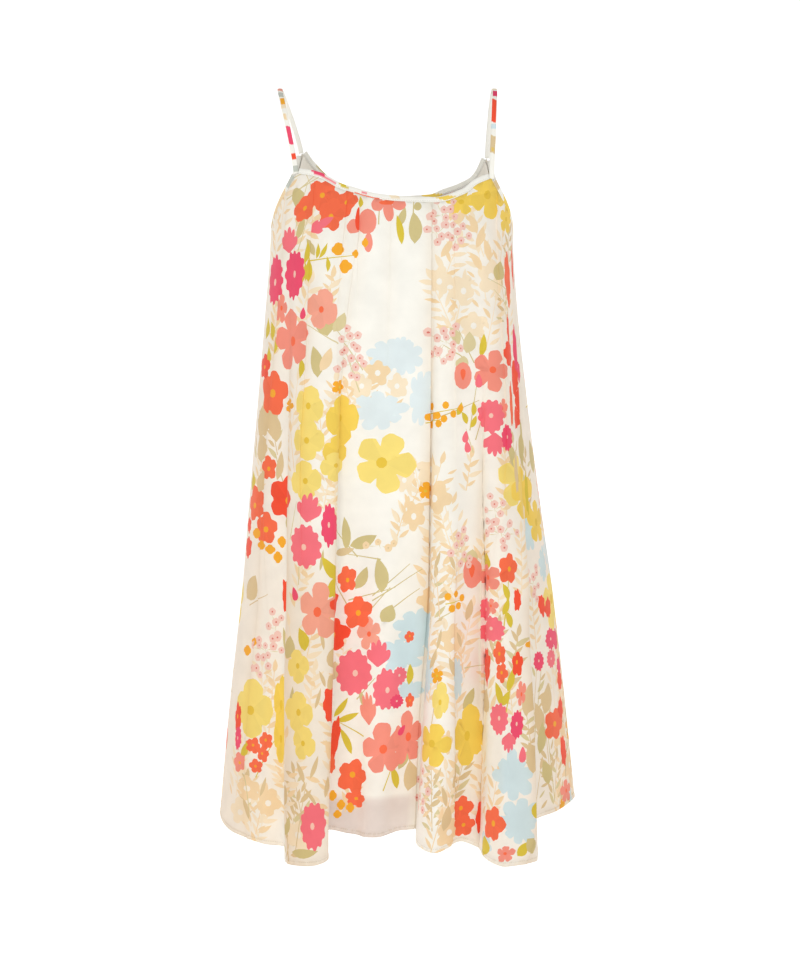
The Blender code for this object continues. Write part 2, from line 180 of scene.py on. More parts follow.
def smooth(knots, values, at):
    """Reads one smooth curve for each column of values, at the same places."""
    knots = np.asarray(knots, float)
    values = np.asarray(values, float)
    slope = slopes(knots, values)
    low = np.clip(np.searchsorted(knots, at, side="right") - 1, 0, len(knots) - 2)
    step = knots[low + 1] - knots[low]
    t = ((at - knots[low]) / step)[:, None]
    return (
        values[low] * (1 + 2 * t) * (1 - t) ** 2
        + values[low + 1] * t * t * (3 - 2 * t)
        + slope[low] * step[:, None] * t * (1 - t) ** 2
        + slope[low + 1] * step[:, None] * t * t * (t - 1)
    )


def read(table, at):
    """Columns of a table whose first column is the place, read smoothly at each place."""
    rows = np.array(sorted(table), float)
    at = np.clip(at, rows[0, 0], rows[-1, 0])
    return smooth(rows[:, 0], rows[:, 1:], at).T


widths = read(OVALS, np.array([-0.2, -0.5, -0.8]))[0] * 2
print("the oval is", np.round(widths, 3), "m wide at three heights")

# %% [markdown]
# Now the surface itself. `hang` gives the point of the cloth at a place across a panel, from -1 at
# the left side seam to 1 at the right, and at a height. `top_of` and `hem_of` give the heights
# where the cloth ends.

# %% The hanging surface
def oval(angle, height, side):
    """Point on the smooth oval at an angle from the middle of the front or the back."""
    half_width, centre, front, back = read(OVALS, height)
    depth = front if side == "front" else back
    across = np.sin(np.radians(angle))
    x = centre + half_width * np.sign(across) * np.abs(across) ** ROUNDNESS
    y = FACING[side] * depth * np.abs(np.cos(np.radians(angle))) ** ROUNDNESS
    return x, y


def fold_lines(side):
    """A place from -1 to 1 for each fold line, with its angle, hem height and swing."""
    angle = np.array([row[1] for row in FOLDS[side]], float)
    ends = np.array([row[2:] for row in FOLDS[side]])
    top = np.column_stack(oval(angle, np.full(angle.size, NECK_Z[side]), side))
    shares = 0
    for line in (ends[:, :2], top):
        run = np.concatenate([[0], np.cumsum(np.linalg.norm(np.diff(line, axis=0), axis=1))])
        shares = shares + run / run[-1]
    foot = np.column_stack(oval(angle, np.full(angle.size, HEM_Z), side))
    return shares - 1, np.column_stack([angle, ends[:, 2], ends[:, :2] - foot])


LINES = {side: fold_lines(side) for side in FOLDS}


def angle_of(across, side):
    return smooth(*LINES[side], across)[:, 0]


def hem_of(across, side):
    return smooth(*LINES[side], across)[:, 1]


def top_at(angle, side):
    """Height of the cloth's upper edge: the neckline up to a strap, then the armhole."""
    corner = CORNER_ANGLE[side]
    inside = np.sin(np.radians(np.minimum(np.abs(angle), corner)))
    share = (inside / math.sin(math.radians(corner))) ** ROUNDNESS
    columns = read(NECKLINES, share)
    to_left, to_right = columns[:2] if side == "front" else columns[2:]
    neck = np.where(angle < 0, to_left, to_right)
    past = np.clip((np.abs(angle) - corner) / (90 - corner), 0, 1)
    return neck + (UNDERARM_Z - neck) * past ** ARMHOLE_CURVE[side]


def top_of(across, side):
    return top_at(angle_of(across, side), side)


def hang(across, height, side):
    """Points of a panel's smooth outer face."""
    angle, _, fold_x, fold_y = smooth(*LINES[side], across).T
    depth = (NECK_Z[side] - height) / (NECK_Z[side] - HEM_Z)
    opened = np.clip(depth, 0, None) ** FOLD_GROWTH
    x, y = oval(angle, height, side)
    return np.column_stack([x + fold_x * opened, y + fold_y * opened, height])


def unit(vectors):
    return vectors / np.linalg.norm(vectors, axis=-1, keepdims=True)


def outward(surface, across, height, side):
    """Unit normals that point out of the dress."""
    step = 2e-4
    right = surface(across + step, height, side) - surface(across - step, height, side)
    up = surface(across, height + step, side) - surface(across, height - step, side)
    return unit(np.cross(up, right)) * FACING[side]


middle = np.array([0.0])
print("middle of the front neck:", np.round(hang(middle, top_of(middle, "front"), "front"), 4))

# %% [markdown]
# ## Laying the cloth flat
#
# A print is drawn on flat cloth and then cut and sewn, so it bends and hides in the folds. To do the
# same, each panel gets flat coordinates: the distance along the cloth from its middle, and the
# height. A table of widths at many heights turns flat places into places across the panel.

# %% Flat coordinates
FLAT_STEP = 0.005
FLAT_COLUMNS = 501
flat_heights = np.arange(-0.905, -0.050, FLAT_STEP)
flat_across = np.linspace(-1, 1, FLAT_COLUMNS)


def flat_table(side):
    """Distance along the cloth from its middle, for every height and place across."""
    middle = np.interp(0, angle_of(flat_across, side), flat_across)
    table = []
    for height in flat_heights:
        points = hang(flat_across, np.full(FLAT_COLUMNS, height), side)
        steps = np.linalg.norm(np.diff(points, axis=0), axis=1)
        run = np.concatenate([[0], np.cumsum(steps)])
        table.append(run - np.interp(middle, flat_across, run))
    return np.array(table)


FLAT = {side: flat_table(side) for side in FOLDS}


def between_rows(height, read_row):
    """Reads the rows of a flat table just below and above each height, and mixes them."""
    place = np.clip((height - flat_heights[0]) / FLAT_STEP, 0, len(flat_heights) - 1.001)
    row = place.astype(int)
    found = np.empty(row.size)
    for r in np.unique(row):
        here = row == r
        low, high = read_row(here, r), read_row(here, r + 1)
        found[here] = low + (high - low) * (place[here] - r)
    return found


def to_flat(across, height, side):
    """Flat distance of places across a panel at given heights."""
    return between_rows(height, lambda here, r: np.interp(across[here], flat_across, FLAT[side][r]))


def from_flat(along, height, side):
    """Places across a panel of flat distances at given heights."""
    return between_rows(height, lambda here, r: np.interp(along[here], FLAT[side][r], flat_across))


for side in FOLDS:
    ends = to_flat(np.array([-1.0, 1.0]), np.array([-0.85, -0.85]), side)
    print(f"the {side} is {ends[1] - ends[0]:.3f} m wide along its folds, near the hem")

# %% [markdown]
# ## Gathers and creases
#
# The neck is gathered into its binding, so small folds run down from it and fade. The front also
# has a few sharp creases, where one fold of the skirt lies over the next. Both are small moves along
# the normal of the smooth surface. A crease has a sharp side, which catches the light, and a soft
# side, which falls away from it.

# %% Small folds
CREASE_HEIGHTS = (-0.85, -0.72, -0.60, -0.45, -0.30, -0.15)
CREASES = {
    "front": [
        # name, sharp side (1 is right), soft side's width, then at each height above:
        # distance along the cloth and how far the ridge stands out, all in mm
        ("overlap", 1, 15, (54.8, 50.2, 51.2, 49.8, 47.2, 43.7), (1.5, 2.4, 2.8, 2.8, 2.6, 2.2)),
        ("recess edge", 1, 13, (-110, -95, -83.8, -63.5, -52, -36.3), (1.5, 2.6, 2.8, 2.2, 1.4, 1.0)),
        ("right edge", 1, 14, (312, 262, 222, 208, 187, 176), (2.0, 3.0, 3.0, 2.4, 1.4, 0.0)),
        ("hollow edge", -1, 13, (203, 169, 146, 132, 128, 126), (2.0, 3.0, 2.8, 1.6, 0.0, 0.0)),
        ("left edge", -1, 13, (-177.5, -159, -152.6, -135, -128, -124), (2.0, 2.8, 2.6, 1.8, 0.6, 0.0)),
        ("soft ridge", 1, 10, (156.5, 127, 106, 98, 96, 94), (1.4, 1.6, 1.2, 0.0, 0.0, 0.0)),
        ("far left", -1, 12, (-288, -250, -215, -190, -180, -176), (1.6, 2.0, 1.8, 0.8, 0.0, 0.0)),
        ("left pleat", 1, 8, (-125, -122, -118, -111, -98, -94.5), (0.0, 0.0, 0.5, 1.6, 1.7, 1.4)),
        ("side pleat", -1, 9, (-205, -205, -200, -182, -153, -134), (0.0, 0.0, 0.6, 1.5, 1.8, 1.2)),
        ("neck pleat", 1, 7, (-60, -60, -60, -60, -61.5, -54), (0.0, 0.0, 0.0, 0.0, 0.7, 1.6)),
        ("coral pleat", 1, 7, (-37, -37, -37, -37, -37.5, -39), (0.0, 0.0, 0.0, 0.0, 0.3, 1.8)),
        ("middle pleat", -1, 8, (1, 1, 1, 1, 1, 0.3), (0.0, 0.0, 0.0, 0.0, 0.5, 0.9)),
        ("right pleat", -1, 10, (89, 89, 89, 90, 80, 72), (0.0, 0.0, 0.0, 0.5, 1.3, 1.4)),
        ("outer pleat", -1, 10, (165, 165, 165, 163, 146, 132), (0.0, 0.0, 0.0, 1.2, 1.7, 1.4)),
    ],
    "back": [
        ("back left", -1, 13, (-205, -184, -166, -148, -134, -122), (2.0, 2.6, 2.4, 1.6, 0.8, 0.0)),
        ("back centre", 1, 14, (-40, -32, -26, -20, -14, -10), (1.6, 2.4, 2.6, 2.4, 2.0, 1.6)),
        ("back right", 1, 13, (158, 140, 126, 112, 100, 92), (1.8, 2.6, 2.4, 1.8, 1.0, 0.6)),
        ("back pleat", -1, 9, (60, 60, 58, 56, 52, 48), (0.0, 0.0, 0.4, 1.2, 1.5, 1.4)),
    ],
}
CREASE_STARTS = 0.006  # height over which a crease grows, below the cloth's upper edge
SHARP_WIDTH = 0.0017
LEAN_WIDTH = 0.0017
OVER, OVER_AT = 0.95, -0.0006  # how far the ridge leans over its sharp side, and where
UNDER, UNDER_AT = 0.60, 0.0024  # how far the cloth in front of it is drawn back under it
GATHER_DEPTH = 0.0017
GATHER_RISE = 0.008
GATHER_SPREAD = 0.05  # depth below the edge at which a gather has doubled its width
print("creases:", {side: [row[0] for row in rows] for side, rows in CREASES.items()})

# %% [markdown]
# The creases are placed one by one. The gathers are many and small, so chance places them, closer together
# towards the straps, each with its own depth, length and width.

# %% Gathers and the moves they make
def gather_table(side, count=34):
    """Places, depths and lengths of the small gathers under a neck binding."""
    corner = CORNER_ANGLE[side] - 3
    places = np.sort(chance.uniform(-1, 1, count))
    angles = corner * np.sign(places) * np.abs(places) ** 0.8
    across = np.interp(angles, angle_of(flat_across, side), flat_across)
    depth = chance.uniform(0.35, 1.0, count) * GATHER_DEPTH
    length = chance.uniform(0.025, 0.10, count)
    width = chance.uniform(0.0016, 0.0034, count)
    return np.column_stack([across, depth, length, width])


GATHERS = {side: gather_table(side) for side in FOLDS}


def crease_line(lines, ridges, height):
    """Where a crease runs on the flat cloth at some heights, and how far its ridge stands out."""
    columns = np.column_stack([lines, ridges]) / 1000
    return smooth(CREASE_HEIGHTS, columns, np.clip(height, CREASE_HEIGHTS[0], CREASE_HEIGHTS[-1])).T


def ripple(across, height, side):
    """How far the small folds stand out from the smooth surface, and how far they lean over sideways."""
    top = top_of(across, side)
    below = np.maximum(top - height, 0)
    along = to_flat(across, height, side)
    raised, leaning = np.zeros(across.size), np.zeros(across.size)
    for _, hand, soft, lines, ridges in CREASES[side]:
        line, ridge = crease_line(lines, ridges, height)
        away = (along - line) * hand
        width = np.where(away > 0, SHARP_WIDTH, soft / 1000)
        full = ridge * np.clip(below / CREASE_STARTS, 0, 1)
        raised += full * np.exp(-((away / width) ** 2))
        over = OVER * np.exp(-(((away - OVER_AT) / LEAN_WIDTH) ** 2))
        under = UNDER * np.exp(-(((away - UNDER_AT) / LEAN_WIDTH) ** 2))
        leaning += hand * full * (over - under)
    swell = np.clip(below / GATHER_RISE, 0, 1)
    for place, depth, length, width in GATHERS[side]:
        ridge = [np.interp(place, flat_across, row) for row in FLAT[side]]
        line = np.interp(height, flat_heights, ridge)
        wide = width * (1 + below / GATHER_SPREAD)
        raised += depth * swell * np.exp(-below / length) * np.exp(-(((along - line) / wide) ** 2))
    return raised, leaning


print("gathers:", {side: len(rows) for side, rows in GATHERS.items()})

# %% [markdown]
# ## The print
#
# Every flower and leaf is made of a few small outlines on the flat cloth, each with one colour. An
# image could carry them, but it would blur close up. So the outlines are laid over each other and
# over a fine grid, and a Delaunay triangulation cuts all of them into one mesh. Each motif then has
# a crisp edge in the mesh itself, and its colour is kept on the corners of its triangles.

# %% Colours
PALETTE = {
    # name: red, green and blue of the dye, as a screen shows them
    "ivory": (252, 252, 245),
    "cream": (250, 234, 204),
    "peach": (247, 221, 178),
    "tan": (226, 203, 158),
    "sage": (224, 212, 165),
    "olive": (213, 199, 142),
    "lime": (222, 200, 66),
    "lemon": (251, 228, 128),
    "yellow": (249, 216, 94),
    "ochre": (235, 200, 68),
    "amber": (250, 178, 48),
    "salmon": (250, 172, 150),
    "coral": (250, 152, 134),
    "scarlet": (253, 114, 76),
    "red": (250, 84, 54),
    "magenta": (232, 45, 100),
    "pink": (244, 80, 116),
    "rose": (251, 120, 134),
    "blush": (247, 208, 197),
    "brick": (222, 124, 112),
    "pale": (252, 206, 190),
    "blue": (213, 234, 239),
    "sky": (228, 241, 244),
    "grey": (200, 205, 196),
}


def linear(rgb):
    """A screen colour as the linear values that shaders use."""
    share = np.asarray(rgb, float) / 255
    return np.where(share <= 0.04045, share / 12.92, ((share + 0.055) / 1.055) ** 2.4)


def mixed(dye):
    """A dye by its name, or a name and how much darker it is."""
    name, tone = dye if isinstance(dye, tuple) else (dye, 1.0)
    return linear(PALETTE[name]) * tone


print(len(PALETTE), "dyes")

# %% [markdown]
# Each kind of motif is drawn once, in a box from -1 to 1. A flower is a ring whose radius swells
# into petals, with notches between them. A leaf is two curved sides that meet in a point.

# %% Outlines of petals, leaves and stems
def flower(petals, notch, power, uneven, points):
    """A ring with petals. A higher power makes the notches wider."""
    turn = np.linspace(0, 2 * math.pi, petals * points, endpoint=False)
    radius = 1 - notch + notch * np.abs(np.cos(petals * turn / 2)) ** power
    size = 1 - uneven * chance.uniform(-0.3, 1, petals + 1)
    size[-1] = size[0]
    radius *= np.interp(turn * petals / (2 * math.pi), np.arange(petals + 1), size)
    if petals < 8:
        radius += 0.02 * np.sin(turn * 13 + chance.uniform(0, 6))
    return np.column_stack([np.sin(turn), np.cos(turn)]) * radius[:, None]


def disc(radius, points, middle=(0, 0)):
    turn = np.linspace(0, 2 * math.pi, points, endpoint=False)
    return np.column_stack([np.sin(turn), np.cos(turn)]) * radius + np.array(middle)


def leaf_outline(points=8, fullness=0.85, bend=0.22):
    """Two curved sides from a narrow base at the bottom to a tip at the top."""
    share = np.linspace(0, 1, points)
    wide = np.sin(math.pi * share ** 0.85) ** fullness
    wide[0] = wide[-1] = 0.0
    middle = bend * (1 - (2 * share - 1) ** 2) - bend / 2
    right = np.column_stack([middle + wide * 0.9, 2 * share - 1])
    left = np.column_stack([middle - wide * 0.9, 2 * share - 1])
    return np.concatenate([right, left[-2:0:-1]])


def fan():
    """A flower seen from the side: ragged petals that open from a point at the bottom."""
    turn = np.linspace(-1.2, 1.2, 41)
    radius = 1.55 + 0.45 * np.abs(np.cos(turn * 6.5)) ** 0.8
    rim = np.column_stack([np.sin(turn) * radius * 0.6, np.cos(turn) * radius - 1])
    return np.concatenate([[(0.07, -1)], rim[::-1], [(-0.07, -1)]])


def drop_outline():
    """A drop, round below and narrow above."""
    turn = np.linspace(0, 2 * math.pi, 14, endpoint=False)
    return np.column_stack([np.sin(turn) * (1.15 - 0.55 * np.cos(turn)) * 0.75, np.cos(turn)])


def stem_outline(width=0.9, bend=0.5):
    """A thin curved strip from bottom to top. width is a share of the box's half width."""
    share = np.linspace(-1, 1, 9)
    middle = bend * (share ** 2 - 0.5) * 0.4
    taper = width * (1.15 - 0.4 * share)
    sides = [np.column_stack([middle + taper, share]), np.column_stack([middle - taper, share])]
    return np.concatenate([sides[0], sides[1][::-1]])


print("a leaf has", len(leaf_outline()), "points and a drop has", len(drop_outline()))

# %% [markdown]
# An outline is then put on the cloth in a box of its own, which has a place, a width and a height.
# Small parts, such as the heart of a bud, get smaller boxes inside it.

# %% Placing an outline
def place(loop, box, turn=0.0, spin=0.0):
    """Puts an outline on the cloth. spin turns it in its own box, and turn then turns it with the box."""
    x, z, wide, high = box
    for angle, stretch in ((spin, (wide / 2, high / 2)), (turn, (1, 1))):
        s, c = math.sin(math.radians(angle)), math.cos(math.radians(angle))
        loop = loop @ np.array([[c, -s], [s, c]]) * np.array(stretch)
    return loop + np.array([x, z])


def around(box, u, v, wide, high, turn):
    """A smaller box inside a turned box, at a place from -1 to 1 in it."""
    x, z, box_wide, box_high = box
    s, c = math.sin(math.radians(turn)), math.cos(math.radians(turn))
    a, b = u * box_wide / 2, v * box_high / 2
    return (x + a * c + b * s, z - a * s + b * c, wide, high)


print("a small box at the upper right of a big one is", around((0, 0, 4, 4), 1, 1, 1, 1, 0))

# %% [markdown]
# Flowers differ in the number of their petals, in how deep the notches are, and in the middle. Two
# petals of a large flower are a little darker, so that it isn't one plain patch.

# %% Flowers
FLOWERS = {
    # kind: petals, depth of the notches, their power, unevenness, points in each petal
    "poppy": (5, 0.42, 0.50, 0.20, 9),
    "lean": (5, 0.36, 0.50, 0.20, 9),
    "round": (4, 0.26, 0.45, 0.12, 10),
    "zinnia": (12, 0.27, 0.60, 0.12, 5),
    "big": (5, 0.46, 0.42, 0.16, 10),
    "blossom": (5, 0.50, 0.55, 0.14, 7),
    "cloud": (8, 0.30, 0.50, 0.36, 6),
}
MORE = {
    # kind: how much wider it is drawn, because of its notches, and its middle's radius and points
    "poppy": (1.14, 0.16, 8),
    "lean": (1.1, 0.16, 8),
    "round": (1.08, 0.16, 9),
    "zinnia": (1.06, 0.14, 8),
    "big": (1.14, 0.17, 9),
    "blossom": (1.1, 0.22, 7),
    "cloud": (1.12, 0, 0),
}
OWN_MIDDLE = {"poppy": "amber", "lean": "amber", "zinnia": "pale", "blossom": "ivory"}
# for the other kinds, the dye of the petals gives the dye of the middle
MIDDLE_DYE = {"coral": "scarlet", "salmon": "scarlet", "yellow": "ochre", "lemon": "ochre", "amber": "ochre"}
TWO_TONED = ("poppy", "lean", "big", "round")
TWO_TONED_SIZE = 0.015  # smallest flower with two darker petals, in m
DARKER = 0.955


def draw_flower(kind, dye, box, turn, smallest):
    """The outline of a flower, two darker petals where it is large, and its middle."""
    outline = flower(*FLOWERS[kind])
    lean = turn if kind == "lean" else 0
    spin = chance.uniform(-25, 25) + (turn - lean)
    loops = [(place(outline, box, lean, spin), dye)]
    if kind in TWO_TONED and smallest > TWO_TONED_SIZE:
        petals, points = FLOWERS[kind][0], FLOWERS[kind][4]
        for first in chance.choice(petals - 1, 2, replace=False):
            start = first * points + points // 2 + 1
            petal = outline[start : start + points - 2] * 0.97
            petal = np.concatenate([petal, [(0, 0)]])
            loops.append((place(petal, box, lean, spin), (dye, DARKER)))
    _, radius, points = MORE[kind]
    if radius:
        middle = OWN_MIDDLE.get(kind) or MIDDLE_DYE.get(dye, "amber")
        shift = chance.uniform(-0.08, 0.08, 2)
        loops.append((place(disc(radius, points, shift), box, lean), middle))
    return loops


print("kinds of flower:", ", ".join(FLOWERS))

# %% [markdown]
# Buds, sprigs of berries, clusters of dots and sprays of pale leaves are worked out from their own
# size, so a larger one has more dots or leaves and not larger ones.

# %% Buds, sprigs, dots and foliage
TWIG = 0.0009  # widths of the thinnest lines, in m
FOLIAGE_STEM = 0.0010
STEM = 0.0011
GOLDEN_ANGLE = 2.39996  # turns each dot from the one before, so that none lies on another
DOT_CLOTH = 1.75e-4  # cloth that one dot takes, in square metres
LEAF_STEP = 0.0060
LIGHTER = {"peach": "cream", "cream": "peach", "tan": "sage"}
SPRIG_HEIGHTS = (0.5, -0.6, 0.7, -0.4, 0.3)


def draw_bud(dye, box, wide, high, turn):
    """A cap, a round cup and the heart in it."""
    cap = around(box, 0, -0.55, wide * 0.8, high * 0.5, turn)
    cup = around(box, 0, 0.12, wide, high * 0.8, turn)
    heart = around(box, 0, 0.05, wide * 0.34, high * 0.34, turn)
    shapes = [(leaf_outline(), cap, "sage"), (disc(1, 14), cup, dye), (drop_outline(), heart, "scarlet")]
    return [(place(loop, spot, turn), name) for loop, spot, name in shapes]


def draw_sprig(dye, box, wide):
    """A lying stem with berries above and below it."""
    loops = [(place(stem_outline(), (box[0], box[1], TWIG, wide), 80), "lime")]
    for k, v in enumerate(SPRIG_HEIGHTS):
        spot = around(box, -0.8 + 0.4 * k, v, 0.0085, 0.0095, 0)
        loops.append((place(disc(0.95, 8), spot), dye))
    return loops


def draw_dots(dye, box, wide, high, turn):
    """A cluster of ragged dots, each with a darker middle and a short twig under it."""
    loops = []
    count = int(np.clip(wide * high / DOT_CLOTH, 3, 16))
    for k in range(count):
        radius, swing = math.sqrt((k + 0.5) / count), k * GOLDEN_ANGLE + chance.uniform(-0.4, 0.4)
        radius *= chance.uniform(0.8, 1.1)
        size = chance.uniform(0.0082, 0.0108)
        u, v = radius * math.sin(swing), radius * math.cos(swing)
        spot = around(box, u, v, size, size * 1.05, turn)
        twig = around(box, u * 0.6, v * 0.6 - 0.1, TWIG, 0.012, turn)
        loops.insert(0, (place(leaf_outline(3), twig, math.degrees(swing) + turn), "sage"))
        loops.append((place(flower(5, 0.10, 0.6, 0.1, 2), spot), dye))
        loops.append((place(disc(0.24, 5), spot), "brick" if dye == "blush" else "tan"))
    return loops


def draw_foliage(dye, box, high, turn):
    """A stem with narrow leaves to both sides and one at its tip."""
    loops = [(place(stem_outline(), (box[0], box[1], FOLIAGE_STEM, high), turn), dye)]
    leaves = int(np.clip(high / LEAF_STEP, 5, 14))
    for k in range(leaves):
        hand = 1 if k % 2 else -1
        reach = chance.uniform(0.25, 0.60)
        length = chance.uniform(0.013, 0.022)
        width = length * chance.uniform(0.26, 0.38)
        spot = around(box, hand * reach, -0.85 + 1.75 * k / leaves, width, length, turn)
        lean = turn + hand * chance.uniform(35, 65)
        loops.append((place(leaf_outline(5), spot, lean), dye if k % 3 else LIGHTER[dye]))
    tip = around(box, 0, 0.95, 0.007, 0.016, turn)
    loops.append((place(leaf_outline(5), tip, turn), dye))
    return loops


def plain_outline(kind):
    """The outline of a motif that has one shape and one dye."""
    if kind == "leaf":
        return leaf_outline(7)
    if kind == "blade":
        return leaf_outline(6, 1.3, 0.4)
    if kind == "burst":
        return fan()
    if kind == "petal":
        return flower(3, 0.05, 0.6, 0.06, 6)
    return drop_outline()


def draw(kind, dye, x, z, wide, high, turn):
    """The loops of one motif, lowest first, each with its dye."""
    more = MORE[kind][0] if kind in FLOWERS else 1
    box = (x, z, wide * more, high * more)
    if kind in FLOWERS:
        return draw_flower(kind, dye, box, turn, min(wide, high))
    if kind in ("leaf", "blade", "burst", "petal", "drop"):
        return [(place(plain_outline(kind), box, turn), dye)]
    if kind == "stem":
        return [(place(stem_outline(), (x, z, STEM, high), turn), dye)]
    if kind == "sliver":
        return [(place(flower(7, 0.34, 0.55, 0.30, 5), box, turn, 11), dye)]
    if kind == "berries":
        return [(place(flower(4, 0.18, 0.6, 0.2, 4), box, 0, turn), dye)]
    if kind == "bud":
        return draw_bud(dye, box, wide, high, turn)
    if kind == "sprig":
        return draw_sprig(dye, box, wide)
    if kind == "dots":
        return draw_dots(dye, box, wide, high, turn)
    return draw_foliage(dye, box, high, turn)


print("a leaf of 10 by 20 mm has", len(draw("leaf", "sage", 0, 0, 0.010, 0.020, 0)), "outline")
